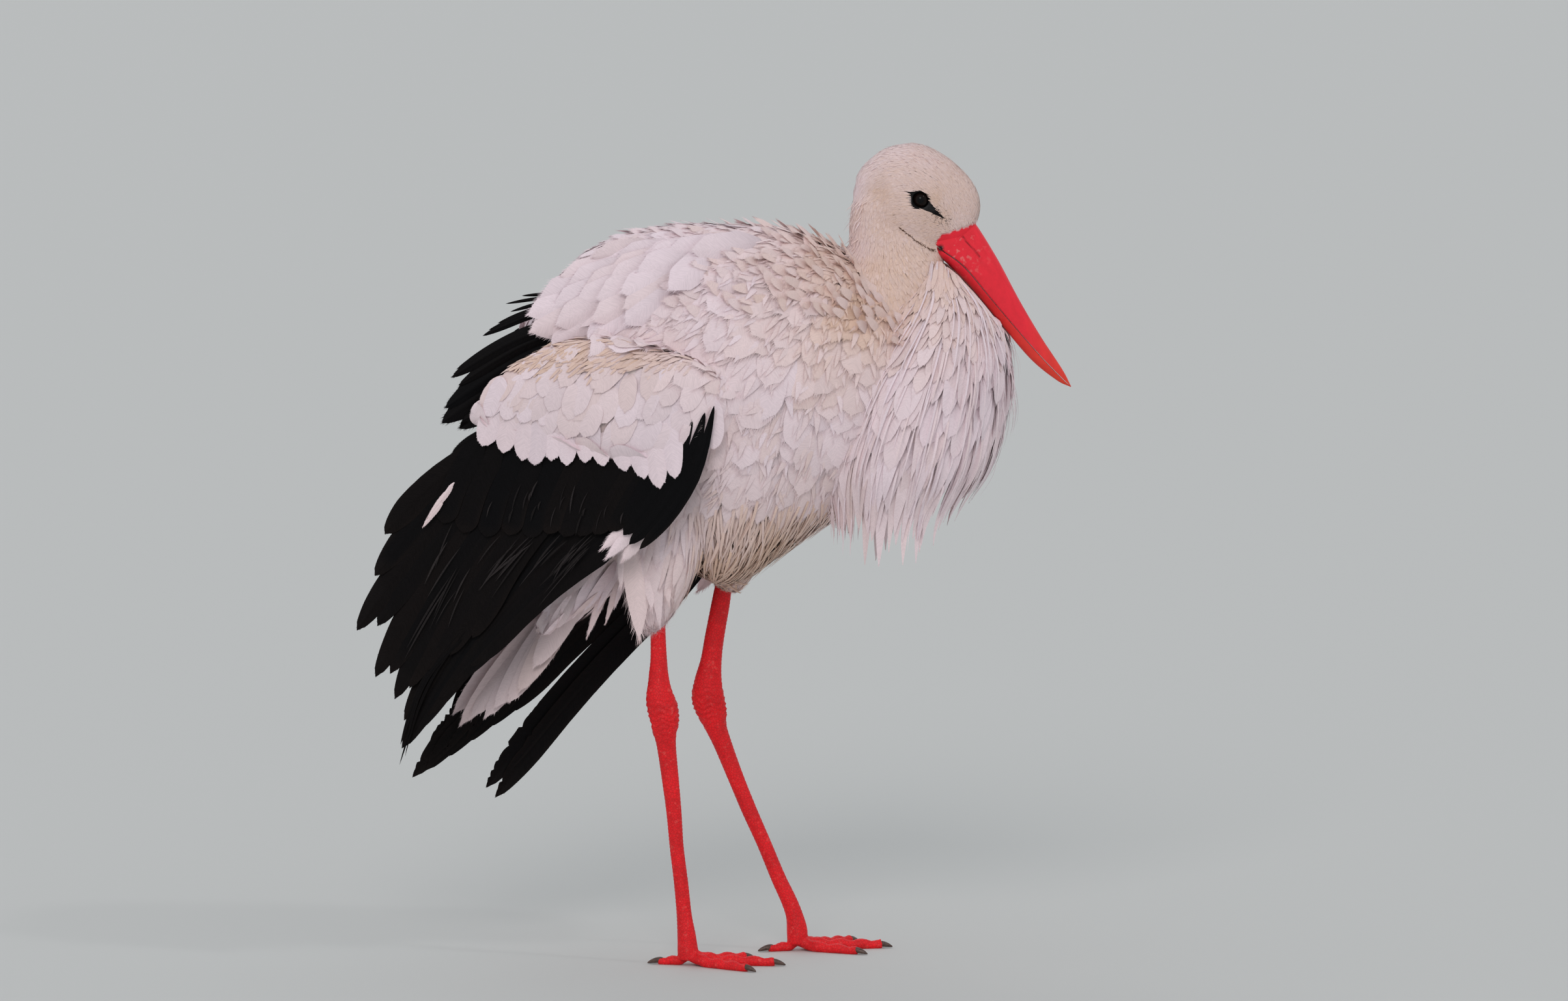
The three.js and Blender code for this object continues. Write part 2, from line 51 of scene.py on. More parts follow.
import bpy
import numpy as np
from mathutils import Vector
from mathutils.bvhtree import BVHTree

MM = 0.001
RIGHT, LEFT = -1, 1
NAME_OF = {RIGHT: "right", LEFT: "left"}

# ---- Where the solids are -------------------------------------------------------------------

EYE = np.array([154.5, 22.0, 672.0])
EYE_BALL = 7.6


def place_of_solids():
    """How far the bird's own frame is from the row frame, in mm, read from an eye's solid."""
    low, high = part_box("eye_left")
    return np.array((low + high) / 2) / MM - EYE


SHIFT = place_of_solids()

# Rows are x, y, z, half size across the line in the upright plane, half width.
HEAD = [
    (96, 0, 673, 6, 5), (103, 0, 674, 15, 11), (119, 0, 681, 28, 20), (130, 0, 679, 46, 28.5),
    (151, 0, 666, 50, 30), (173, 0, 649.5, 44.5, 22.5), (183.5, 0, 637, 26.5, 16), (187.5, 0, 629.5, 12, 9),
]
NECK = [
    (96, 0, 545, 60, 50), (126, 0, 590, 50, 40), (133, 0, 622, 42, 29), (130, 0, 652, 38, 25),
    (129, 0, 669, 32, 23), (132, 0, 681, 14, 11),
]
TRUNK = [
    (-192, 0, 557, 9, 6), (-168, 0, 547, 47, 44), (-128, 0, 531, 99, 72), (-78, 0, 511, 135, 90),
    (-20, 0, 492.5, 156.5, 98), (34, 0, 504, 142, 95), (84, 0, 512, 118, 84), (130, 0, 504, 94, 70),
    (168, 0, 499, 67, 48), (190, 0, 495, 25, 16),
]
RUMP = [(-60, 0, 446, 40, 36), (-104, 0, 385, 34, 40), (-146, 0, 326, 22, 36), (-176, 0, 288, 8, 24)]
THIGHS = {
    RIGHT: [(-58, -42, 420, 40, 34), (-70, -42, 364, 34, 30), (-78, -42, 323, 22, 20), (-84, -42, 296, 9, 9)],
    LEFT: [(2, 42, 400, 34, 34), (-6, 42, 365, 29, 30), (-11, 42, 339, 19, 20), (-15, 42, 322, 9, 9)],
}

# Outlines of the bill from the side, as x, z: its ridge, the line of the mouth, its lower edge.
CULMEN = [(176, 674), (190, 664), (203.4, 648.7), (222.3, 618.3), (241.7, 582), (260.6, 549.9),
          (279.4, 521.2), (287, 506.4)]
MOUTH_LINE = [(158, 641), (172, 628), (193, 612), (216, 584.4), (238.9, 557.3), (261.7, 531.5),
              (280, 512.6), (287, 506.2)]
GONYS = [(146, 644), (165, 626.5), (181, 611.5), (197.7, 594.7), (222.3, 564.8), (250.9, 530.9),
         (273.9, 512), (286.4, 505.8)]

# The wing's surface: how far it stands from the middle of the bird at a place (x, z) on it.
WING_FRONT, WING_FADE_FROM, WING_SLOPE, WING_LEAST = 106, -40, 0.235, 42
WING_TOP_FROM, WING_TOP_CURVE = 505, 0.006
WING_HANG = {RIGHT: (0, 0), LEFT: (63, -49)}
# Rows are x, z, half height, half thickness and how far its middle stands off that surface.
ARM = [
    (-10, 492, 12, 5, -12), (-32, 496, 36, 10, -3), (-60, 499, 48, 13, 1), (-92, 501, 52, 16, 2),
    (-138, 506, 52, 16, 2), (-186, 501, 37, 13, 2), (-218, 489, 20, 9, 3), (-231, 482, 8, 4, 4),
]


def wing_out(x, z):
    """Distance of the wing's surface from the middle of the bird."""
    behind = np.maximum(0, WING_FADE_FROM - x)
    above = np.maximum(0, z - WING_TOP_FROM)
    return np.maximum(WING_LEAST, WING_FRONT - WING_SLOPE * behind - WING_TOP_CURVE * above**2)


def arm_of(side):
    """Stations of the fleshy part of a folded wing."""
    forward, up = WING_HANG[side]
    return [
        (x + forward, side * (wing_out(x, z) + off), z + up, high, wide) for x, z, high, wide, off in ARM
    ]


# ---- Smooth lines, tubes and meshes ---------------------------------------------------------


def lerp(a, b, t):
    return a + (b - a) * t


def unit(v):
    return v / np.maximum(np.linalg.norm(v, axis=-1, keepdims=True), 1e-9)


def dot(a, b):
    return (a * b).sum(-1, keepdims=True)


def smooth_line(stations, t):
    """What a smooth line through the stations holds a share t, 0 to 1, of the way along."""
    s = np.asarray(stations, float)
    last = len(s) - 1
    x = np.clip(np.asarray(t, float), 0, 1) * last
    i = np.minimum(x.astype(int), last - 1)
    f = (x - i)[..., None]
    s = np.vstack([2 * s[0] - s[1], s, 2 * s[-1] - s[-2]])
    a, b, c, d = s[i], s[i + 1], s[i + 2], s[i + 3]
    return b + 0.5 * f * (c - a + f * (2 * a - 5 * b + 4 * c - d + f * (3 * (b - c) + d - a)))


def tube(stations, t, turn, grow=0.0, upright=False):
    """Points on an oval tube, a share t along it and `turn` radians round it from its top."""
    here = smooth_line(stations, t)
    after, before = (smooth_line(stations, np.asarray(t) + step)[..., :3] for step in (0.01, -0.01))
    ahead = np.broadcast_to([1.0, 0, 0], after.shape) if upright else unit(after - before)
    across = unit(np.array([0, 1.0, 0]) - ahead * ahead[..., 1:2])
    upward = np.cross(ahead, across)
    size = np.maximum(here[..., 3:5] + grow, 0.5)
    return (
        here[..., :3]
        + upward * (np.cos(turn) * size[..., 0])[..., None]
        + across * (np.sin(turn) * size[..., 1])[..., None]
    )


def grid_faces(rows, columns, closed=False):
    """Quads of a grid of points, with the last column joined to the first where it is closed."""
    r = np.arange(rows - 1)[:, None] * columns
    c = np.arange(columns if closed else columns - 1)[None, :]
    n = (c + 1) % columns
    return np.stack([r + c, r + n, r + columns + n, r + columns + c], -1).reshape(-1, 4)


def closed_faces(rings, sides):
    """Faces of a tube's grid of points, closed at both ends."""
    faces = [tuple(f) for f in grid_faces(rings, sides, closed=True)]
    faces.append(tuple(range(sides))[::-1])
    faces.append(tuple(range((rings - 1) * sides, rings * sides)))
    return faces


def tube_mesh(stations, rings, sides, grow=0.0, upright=False):
    """Vertices and faces of a closed oval tube."""
    t = np.linspace(0, 1, rings)[:, None] * np.ones(sides)
    turn = np.linspace(0, 2 * math.pi, sides, endpoint=False) * np.ones((rings, 1))
    return tube(stations, t, turn, grow, upright).reshape(-1, 3), closed_faces(rings, sides)


def joined(meshes):
    """Several (points, faces) as one."""
    points, faces, start = [], [], 0
    for p, f in meshes:
        points.append(p)
        faces += [tuple(int(i) + start for i in face) for face in f]
        start += len(p)
    return np.vstack(points), faces


def place_mesh(name, mesh, material):
    """Puts a mesh in the scene as an object."""
    mesh.polygons.foreach_set("use_smooth", np.full(len(mesh.polygons), True))
    if material:
        mesh.materials.append(material)
    obj = bpy.data.objects.new(name, mesh)
    bpy.context.scene.collection.objects.link(obj)
    return obj


def add_object(name, points, faces, material):
    """A new object in the row frame, from points in the bird's own millimetres."""
    mesh = bpy.data.meshes.new(name)
    mesh.from_pydata(((points + SHIFT) * MM).tolist(), [], [tuple(map(int, f)) for f in faces])
    mesh.validate()
    return place_mesh(name, mesh, material)


def add_quads(name, points, quads, triangles, material):
    """The same for very many quads and triangles, without Python lists."""
    mesh = bpy.data.meshes.new(name)
    mesh.vertices.add(len(points))
    mesh.vertices.foreach_set("co", ((points + SHIFT) * MM).astype(np.float32).ravel())
    mesh.loops.add(quads.size + triangles.size)
    corners = np.concatenate([quads.ravel(), triangles.ravel()]).astype(np.int32)
    mesh.loops.foreach_set("vertex_index", corners)
    mesh.polygons.add(len(quads) + len(triangles))
    starts = np.concatenate([np.arange(len(quads)) * 4, quads.size + np.arange(len(triangles)) * 3])
    mesh.polygons.foreach_set("loop_start", starts.astype(np.int32))
    mesh.update(calc_edges=True)
    return place_mesh(name, mesh, material)


def paint(obj, name, colours):
    """A colour for each vertex."""
    layer = obj.data.color_attributes.new(name, "FLOAT_COLOR", "POINT")
    rgba = np.ones((len(colours), 4), np.float32)
    rgba[:, : colours.shape[1]] = colours
    layer.data.foreach_set("color", rgba.ravel())


def map_corners(obj, name, uv):
    """A UV map from one place for each vertex."""
    corners = np.empty(len(obj.data.loops), np.int32)
    obj.data.loops.foreach_get("vertex_index", corners)
    obj.data.uv_layers.new(name=name).data.foreach_set("uv", uv[corners].astype(np.float32).ravel())


def united(meshes, voxel, smoothing):
    """One closed surface round several overlapping ones, as points in mm and faces."""
    obj = add_object("united", *joined(meshes), None)
    remesh = obj.modifiers.new("remesh", "REMESH")
    remesh.mode = "VOXEL"
    remesh.voxel_size = voxel * MM
    soften = obj.modifiers.new("soften", "SMOOTH")
    soften.iterations = smoothing
    soften.factor = 0.5
    made = obj.evaluated_get(bpy.context.evaluated_depsgraph_get()).to_mesh()
    points = np.empty(len(made.vertices) * 3, np.float32)
    made.vertices.foreach_get("co", points)
    faces = [tuple(p.vertices) for p in made.polygons]
    bpy.data.objects.remove(obj)
    return points.reshape(-1, 3) / MM - SHIFT, faces


def nearest(tree, points):
    """For each point, the nearest place on a surface and the surface's normal there."""
    found = [tree.find_nearest(p) for p in points.tolist()]
    return np.array([f[0] for f in found]), np.array([f[1] for f in found])


# ---- Materials ------------------------------------------------------------------------------


def socket_name(word):
    """specular_ior_level as Specular IOR Level."""
    return word.replace("_", " ").title().replace("Ior", "IOR")


class Nodes:
    """Short calls for building a material's nodes."""

    def __init__(self, name):
        self.material = bpy.data.materials.new(name)
        self.material.use_nodes = True
        self.tree = self.material.node_tree
        self.shader = self.tree.nodes["Principled BSDF"]

    def add(self, kind, **values):
        node = self.tree.nodes.new("ShaderNode" + kind)
        for key, value in values.items():
            setattr(node, key, value)
        return node

    def link(self, source, target):
        self.tree.links.new(source, target)

    def math(self, operation, a, b=None):
        node = self.add("Math", operation=operation)
        for socket, value in zip(node.inputs, (a, b)):
            if isinstance(value, (int, float)):
                socket.default_value = value
            elif value is not None:
                self.link(value, socket)
        return node.outputs[0]

    def times(self, a, b):
        return self.math("MULTIPLY", a, b)

    def plus(self, a, b):
        return self.math("ADD", a, b)

    def ramp(self, source, stops):
        node = self.add("ValToRGB")
        stops_there = node.color_ramp.elements
        while len(stops_there) < len(stops):
            stops_there.new(0.5)
        for stop, (at, colour) in zip(stops_there, stops):
            stop.position = at
            stop.color = (*colour, 1) if len(colour) == 3 else (*(colour * 3), 1)
        self.link(source, node.inputs[0])
        return node.outputs[0]

    def fade(self, source, start, end, low=0.0, high=1.0):
        """A value that goes from low to high while the source goes from start to end."""
        return self.ramp(source, [(start, (low,)), (end, (high,))])

    def mix(self, share, a, b, blend="MIX"):
        node = self.add("Mix", data_type="RGBA", blend_type=blend)
        for socket, value in ((node.inputs[0], share), (node.inputs[6], a), (node.inputs[7], b)):
            if isinstance(value, (int, float)):
                socket.default_value = value
            elif isinstance(value, tuple):
                socket.default_value = (*value, 1)
            else:
                self.link(value, socket)
        return node.outputs[2]

    def bump(self, height, strength, distance):
        node = self.add("Bump")
        node.inputs["Strength"].default_value = strength
        node.inputs["Distance"].default_value = distance
        self.link(height, node.inputs["Height"])
        return node.outputs[0]

    def painted(self, name):
        return self.add("Attribute", attribute_name=name).outputs["Color"]

    def first_of(self, colour):
        """The red part of a colour, where "kind" holds a share."""
        apart = self.add("SeparateColor")
        self.link(colour, apart.inputs[0])
        return apart.outputs[0]

    def noise(self, scale, detail=3.0, vector=None):
        node = self.add("TexNoise")
        node.inputs["Scale"].default_value = scale
        node.inputs["Detail"].default_value = detail
        self.link(vector or self.add("TexCoord").outputs["Object"], node.inputs["Vector"])
        return node.outputs["Fac"]

    def finish(self, colour, roughness, normal=None, **fixed):
        self.link(colour, self.shader.inputs["Base Color"])
        if isinstance(roughness, float):
            self.shader.inputs["Roughness"].default_value = roughness
        else:
            self.link(roughness, self.shader.inputs["Roughness"])
        if normal:
            self.link(normal, self.shader.inputs["Normal"])
        for key, value in fixed.items():
            self.shader.inputs[socket_name(key)].default_value = value
        return self.material


BARB_PITCH = 0.9  # mm from one barb to the next
BARB_SLANT = 0.9  # how far barbs run towards the tip for each mm off the shaft
SHAFT_HALF_WIDTH = 0.3


def feather_material(name, contrast, roughness, **fixed):
    """Barbs run slantwise from the shaft. The Vane map holds mm across and along each feather."""
    n = Nodes(name)
    apart = n.add("SeparateXYZ")
    n.link(n.add("UVMap", uv_map="Vane").outputs["UV"], apart.inputs[0])
    off_shaft = n.math("ABSOLUTE", apart.outputs["X"])
    slant = n.math("SUBTRACT", apart.outputs["Y"], n.times(off_shaft, BARB_SLANT))
    # Noise that is long across the barbs and short along the feather clumps them together.
    streak = n.add("CombineXYZ")
    for socket, value, scale in zip(streak.inputs, (slant, off_shaft, n.noise(25, 1)), (0.9, 0.10, 40.0)):
        n.link(n.times(value, scale), socket)
    clumps = n.noise(1.0, 4, streak.outputs[0])
    barbs = n.math("SINE", n.times(slant, 2 * math.pi / BARB_PITCH))
    height = n.plus(n.times(barbs, 0.25), n.times(clumps, 2.2))
    shaft = n.math("LESS_THAN", off_shaft, SHAFT_HALF_WIDTH)
    height = n.plus(height, n.times(shaft, 0.8))
    shade = n.fade(clumps, 0.35, 0.62, 1 - contrast)
    colour = n.mix(1.0, n.painted("tint"), shade, "MULTIPLY")
    return n.finish(colour, roughness, n.bump(height, 0.14, 0.0004), **fixed)


CHALK = (0.85, 0.45, 0.36)  # dry flakes on the legs
# Painted shade in the grooves between the leg's scales.
GROOVE_SHADE_RED = (0.30, 0.007, 0.007)
SCUFFED = (0.80, 0.34, 0.30)


def skin_material():
    """Red scaly legs with painted shade in the grooves between the scales, black bare skin by the eye, and
    pale down under the feathers.
    """
    n = Nodes("skin")
    scales = n.add("TexVoronoi", feature="DISTANCE_TO_EDGE")
    scales.inputs["Scale"].default_value = 420
    n.link(n.add("TexCoord").outputs["Object"], scales.inputs["Vector"])
    edge = n.fade(scales.outputs["Distance"], 0.0, 0.16)
    scaly = n.first_of(n.painted("kind"))
    blotch = n.noise(60, 4)
    tone = n.ramp(blotch, [(0.35, (0.80, 0.72, 0.72)), (0.62, (1.0, 1.0, 1.0))])
    base = n.mix(1.0, n.painted("tint"), tone, "MULTIPLY")
    chalk = n.times(n.fade(n.noise(240, 5), 0.58, 0.75), 0.16)
    base = n.mix(n.times(chalk, scaly), base, CHALK)
    # Painted shade darkens the grooves between the leg's scales.
    groove_shade = n.times(n.math("SUBTRACT", 1.0, edge), scaly)
    base = n.mix(n.times(groove_shade, 0.42), base, GROOVE_SHADE_RED)
    height = n.plus(n.times(edge, scaly), n.times(n.noise(900, 3), 0.35))
    rough = n.fade(blotch, 0.3, 0.7, 0.42, 0.6)
    return n.finish(base, rough, n.bump(height, 0.4, 0.0004), specular_ior_level=0.3)


def bill_material():
    """Red horn, orange below and at the tip, with pale scuffs near the base."""
    n = Nodes("bill")
    streak = n.add("Mapping")
    streak.inputs["Scale"].default_value = (60, 300, 60)
    streak.inputs["Rotation"].default_value = (0, math.radians(50), 0)
    n.link(n.add("TexCoord").outputs["Object"], streak.inputs["Vector"])
    fibre = n.noise(1.5, 6, streak.outputs[0])
    tone = n.ramp(fibre, [(0.3, (0.86, 0.80, 0.80)), (0.7, (1.0, 1.0, 1.0))])
    base = n.mix(1.0, n.painted("tint"), tone, "MULTIPLY")
    worn = n.times(n.fade(n.noise(210, 6), 0.60, 0.66), n.first_of(n.painted("kind")))
    base = n.mix(n.times(worn, 0.6), base, SCUFFED)
    rough = n.fade(fibre, 0.3, 0.7, 0.46, 0.30)
    height = n.plus(n.times(fibre, 0.6), n.times(n.noise(500, 4), 0.4))
    return n.finish(base, rough, n.bump(height, 0.25, 0.0004), specular_ior_level=0.3, coat_weight=0.06)


def eye_material():
    """A very dark brown iris round a black pupil, with a wet surface."""
    n = Nodes("eye")
    return n.finish(n.painted("tint"), 0.03, specular_ior_level=0.12)


def claw_material():
    n = Nodes("claw")
    grain = n.noise(500, 4)
    colour = n.ramp(grain, [(0.3, (0.045, 0.025, 0.02)), (0.7, (0.13, 0.075, 0.055))])
    return n.finish(colour, 0.42, n.bump(grain, 0.2, 0.0003))


WHITE_VANES = feather_material("white_feather", 0.10, 0.75, sheen_weight=0.3, specular_ior_level=0.2)
BLACK_VANES = feather_material("black_feather", 0.35, 0.55, specular_ior_level=0.07)
SKIN = skin_material()
BILL_HORN = bill_material()
EYE_GLOSS = eye_material()
CLAW_HORN = claw_material()

WHITE = np.array([0.90, 0.755, 0.80])
CREAM = np.array([0.79, 0.56, 0.44])
# Brown: a real stain at the foot of the neck, and painted shade low on the belly.
STAIN_AND_BELLY_SHADE = np.array([0.62, 0.42, 0.31])
# Painted shade along the crease under the cheek.
CREASE_SHADE = np.array([0.22, 0.13, 0.09])
BLACK = np.array([0.0028, 0.0026, 0.0032])
BROWN = np.array([0.013, 0.008, 0.0065])
WORN = np.array([0.010, 0.0068, 0.006])  # the worn edges of black feathers
# Painted sheen on the black feathers.
SHEEN_STREAK = np.array([0.030, 0.025, 0.025])
RED = np.array([0.93, 0.011, 0.018])
BILL_RED = np.array([0.94, 0.024, 0.045])
BILL_ORANGE = np.array([0.82, 0.085, 0.022])
BARE_BLACK = np.array([0.007, 0.006, 0.006])
DOWN = np.array([0.86, 0.74, 0.72])
TAIL_PAINTED_SHADE = 0.78  # painted shade: the tail is drawn darker than the body

# ---- Feathers -------------------------------------------------------------------------------

BAKE_PATCH = 0.003  # size on the OFBake map of one feather's own patch

# A feather where a coat doesn't say otherwise. Shares are of its length, from the root.
VANE = dict(
    rows=6, columns=5,  # points along and across
    taper=0.35, point=0.75,  # the shares where it is fully wide, and where it starts to narrow
    foot=0.25, sharp=0.0, rounded=0.0,  # width at the root, and how pointed and how round the tip is
    cup=0.25, shaft=0.0, fray=0.1, notched=0.0,  # how hollow, how raised the shaft is, how uneven
    root_shade=1.0, worn=None,  # how light painted shade leaves the root, and the colour of worn edges
    barbs=0, barbs_from=0.35,  # how many loose barbs, and the share where they start
    barb_length=0.25, barb_width=0.8, barb_spread=0.55,  # in half widths, in mm, and sideways
)


def along_spines(spines, share):
    """Places on each spine (n, k, 3) at shares (n, m) of its length, straight between its points."""
    count = spines.shape[1] - 1
    x = np.clip(share, 0, 1) * count
    i = np.minimum(x.astype(int), count - 1)
    f = (x - i)[..., None]
    row = np.arange(len(spines))[:, None]
    return spines[row, i] * (1 - f) + spines[row, i + 1] * f


def vane_shape(s, taper, point, sharp, foot):
    """Half width of a vane, 0 to 1, at a share s along it: narrow at the root, full, then pointed."""
    root = np.clip(s / taper, 0, 1) ** 0.6 * (1 - foot) + foot
    tip = (1 - np.clip((s - point) / (1 - point + 1e-6), 0, 1) ** 2) ** (0.5 + 0.6 * sharp)
    return root * (0.06 + 0.94 * tip)


def edge_of(grid, first_row):
    """Goes up one edge of each feather's grid (n, rows, columns, ...), across its tip and back down."""
    return np.concatenate(
        [grid[:, first_row:, 0], grid[:, -1, 1:-1], grid[:, first_row:, -1][:, ::-1]], axis=1
    )


def barbs_on(grids, sides, count, length, width, spread, rng):
    """Loose barbs: thin triangles that fringe each feather.

    Gives (n, count, 3 corners, 3) points and the edge's point that each grows from.
    """
    place, ahead, aside, out = grids
    n, steps = place.shape[:2]
    x = (np.arange(count) + rng.random((n, count))) / count * (steps - 1.001)
    i = x.astype(int)
    row = np.arange(n)[:, None]
    foot = lerp(place[row, i], place[row, i + 1], (x - i)[..., None])
    along = unit(place[row, i + 1] - place[row, i])
    lean = sides[i][..., None] * spread + rng.normal(0, 0.13, (n, count, 1))
    rise = rng.normal(-0.01, 0.04, (n, count, 1))
    way = unit(ahead[row, i] + aside[row, i] * lean + out[row, i] * rise)
    reach = (length[:, None] * rng.uniform(0.35, 1.25, (n, count)))[..., None]
    foot = foot - way * width * 0.8
    return np.stack([foot - along * width / 2, foot + along * width / 2, foot + way * reach], 2), i


def shares_along(n, u, vane, rng):
    """How far along its feather each point of the grid (n, rows, columns) is, with an uneven tip."""
    comb = np.where(np.arange(vane.columns) % 2 == 1, 1.0, 0.25)
    reach = 1 - vane.rounded * np.abs(u) ** 2.2 - vane.fray * comb * rng.random((n, vane.columns))
    return np.linspace(0, 1, vane.rows)[None, :, None] * reach[:, None, :]


def widths_along(s, u, half_width, vane, rng):
    """The feather's half width at each point, in mm, frayed and notched at its edges."""
    frayed = 1 + vane.fray * (rng.random(s.shape) - 0.5) * (np.abs(u) > 0.9)
    outline = vane_shape(s, vane.taper, vane.point, vane.sharp, vane.foot)
    wide = half_width[:, None, None] * outline * frayed
    if vane.notched:
        # Teeth of uneven size along one edge, deeper towards the tip.
        teeth = (s * 19 + 1.3 * np.sin(s * 23 + 6 * rng.random((len(s), 1, 1)))) % 1.0
        depth = vane.notched * np.clip((s - 0.66) / 0.2, 0, 1) * (0.6 + 0.4 * np.sin(s * 41))
        wide = wide * (1 - depth * teeth**2 * (u > 0) * (s < 0.97))
    return wide


def colours_along(s, u, tints, vane, rng):
    """The feather's colour at each point: painted shade darkens the root, and its edges and tip are worn."""
    # Painted shade: each feather grows darker towards its root.
    shade = vane.root_shade + (1 - vane.root_shade) * np.clip(s * 1.6, 0, 1)
    colour = tints[:, None, None, :] * shade[..., None]
    if vane.worn is not None:
        worn = np.clip((np.abs(u) - 0.6) / 0.4, 0, 1) * np.clip((s - 0.3) / 0.4, 0, 1)
        worn = np.maximum(worn, np.clip((s - 0.86) / 0.14, 0, 1))[..., None]
        colour = colour + (vane.worn - colour) * worn * rng.uniform(0.2, 1.0, (len(s), 1, 1, 1))
    return colour


def add_vanes(name, blades, half_width, tints, patches, material, rng, **shape):
    """One mesh of many feathers, each a cupped blade along its spine, fringed with loose barbs.

    blades are the spines and the directions sideways and outwards along them, each (n, k, 3).
    patches are the roots' places on the OFBake map.
    """
    vane = SimpleNamespace(**(VANE | shape))
    spines, sideways, normals = blades
    n, rows, columns = len(spines), vane.rows, vane.columns
    half_width = np.broadcast_to(half_width, n)
    u = np.linspace(-1, 1, columns)
    s = shares_along(n, u, vane, rng)
    flat = s.reshape(n, -1)
    centre = along_spines(spines, flat).reshape(n, rows, columns, 3)
    side = unit(along_spines(sideways, flat)).reshape(n, rows, columns, 3)
    out = unit(along_spines(normals, flat)).reshape(n, rows, columns, 3)
    across = widths_along(s, u, half_width, vane, rng) * u
    sag = vane.cup * np.abs(across) * np.abs(u) - vane.shaft * (np.abs(u) < 0.01)
    points = centre + side * across[..., None] - out * sag[..., None]
    quads = grid_faces(rows, columns)[None] + (np.arange(n) * rows * columns)[:, None, None]
    length = np.linalg.norm(np.diff(spines, axis=1), axis=2).sum(1)
    on_vane = np.stack([across, s * length[:, None, None]], -1)
    own = np.stack([np.broadcast_to(u / 2, s.shape), s - 0.5], -1)
    places = patches[:, None, None] + own * BAKE_PATCH
    colour = colours_along(s, u, tints, vane, rng)
    mesh = [grid.reshape(-1, grid.shape[-1]) for grid in (points, on_vane, places, colour)]
    triangles = np.zeros((0, 3), int)
    if vane.barbs:
        first = max(1, int(rows * vane.barbs_from))
        ahead = unit(np.gradient(centre, axis=1))
        grids = [edge_of(g, first) for g in (points, ahead, side, out)]
        sides = edge_of(np.broadcast_to(u, (1, rows, columns)), first)[0]
        corners, i = barbs_on(
            grids, sides, vane.barbs, half_width * vane.barb_length, vane.barb_width, vane.barb_spread, rng
        )
        own_row = np.arange(n)[:, None]
        spot = edge_of(places, first)[own_row, i]
        hue = edge_of(colour, first)[own_row, i] * rng.normal(1.0, 0.03, (n, vane.barbs, 1))
        strand = np.broadcast_to(np.array([[0.5, 0.0], [1.0, 0.0], [0.8, 1.1]]), (n, vane.barbs, 3, 2))
        triangles = np.arange(n * vane.barbs * 3).reshape(-1, 3) + len(mesh[0])
        fringe = [corners, strand, np.repeat(spot[:, :, None], 3, 2), np.repeat(hue[:, :, None], 3, 2)]
        mesh = [np.vstack([a, b.reshape(-1, b.shape[-1])]) for a, b in zip(mesh, fringe)]
    obj = add_quads(name, mesh[0], quads.reshape(-1, 4), triangles, material)
    map_corners(obj, "Vane", mesh[1])
    map_corners(obj, "OFBake", mesh[2])
    paint(obj, "tint", mesh[3])
    return finished(obj)


def finished(obj):
    """Every piece rides on the one body."""
    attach(obj, "root")
    return obj


def guided(guides, points):
    """Values at points from guides: rows of x, z and then the values, blended by nearness."""
    g = np.asarray(guides, float)
    gap = points[:, None, [0, 2]] - g[None, :, :2]
    weight = 1 / (np.linalg.norm(gap, axis=2) + 4.0) ** 3
    return (weight[..., None] * g[None, :, 2:]).sum(1) / weight.sum(1)[:, None]


def from_line(points, line):
    """Distance of places (n, 2) from a line of points (m, 2)."""
    near = np.full(len(points), 1e9)
    for a, b in zip(line[:-1], line[1:]):
        share = np.clip(((points - a) @ (b - a)) / ((b - a) @ (b - a)), 0, 1)[:, None]
        near = np.minimum(near, np.linalg.norm(points - a - share * (b - a), axis=1))
    return near


def thinned(points, gaps):
    """Indices of the points that stand at least their own gap from every one kept before them."""
    size = gaps.max()
    around = list(itertools.product((-1, 0, 1), repeat=3))
    kept, cells = [], {}
    for k, (key, p, gap) in enumerate(zip(np.floor(points / size).astype(int), points, gaps)):
        x, y, z = key.tolist()
        close = (q for dx, dy, dz in around for q in cells.get((x + dx, y + dy, z + dz), ()))
        limit = gap * gap
        if all((p[0] - q[0]) ** 2 + (p[1] - q[1]) ** 2 + (p[2] - q[2]) ** 2 > limit for q in close):
            cells.setdefault((x, y, z), []).append(p.tolist())
            kept.append(k)
    return np.array(kept)


def spread(stations, spacing_of, rng, upright):
    """Evenly scattered roots on a tube, at a spacing that depends on the place.

    Gives points and their (t, turn) on the tube, which is the unwrap of its own shape.
    """
    rings, sides = 60, 60
    t, turn = np.meshgrid(np.linspace(0.01, 0.99, rings), np.linspace(0, 2 * math.pi, sides), indexing="ij")
    grid = tube(stations, t, turn, 0, upright)
    area = np.linalg.norm(np.cross(grid[1:, :-1] - grid[:-1, :-1], grid[:-1, 1:] - grid[:-1, :-1]), axis=2)
    closest = spacing_of(grid.reshape(-1, 3)).min()
    tries = int(area.sum() / closest**2 * 3.0)
    cell = rng.choice(area.size, tries, p=(area / area.sum()).ravel())
    i, j = np.divmod(cell, sides - 1)
    ts = t[i, 0] + rng.random(tries) * (t[1, 0] - t[0, 0])
    turns = turn[0, j] + rng.random(tries) * (turn[0, 1] - turn[0, 0])
    points = tube(stations, ts, turns, 0, upright)
    kept = thinned(points, spacing_of(points))
    return points[kept], np.stack([ts[kept], turns[kept] / (2 * math.pi)], 1)


# ---- The body's two surfaces: the outside of the coat, and the skin a coat's depth inside it --

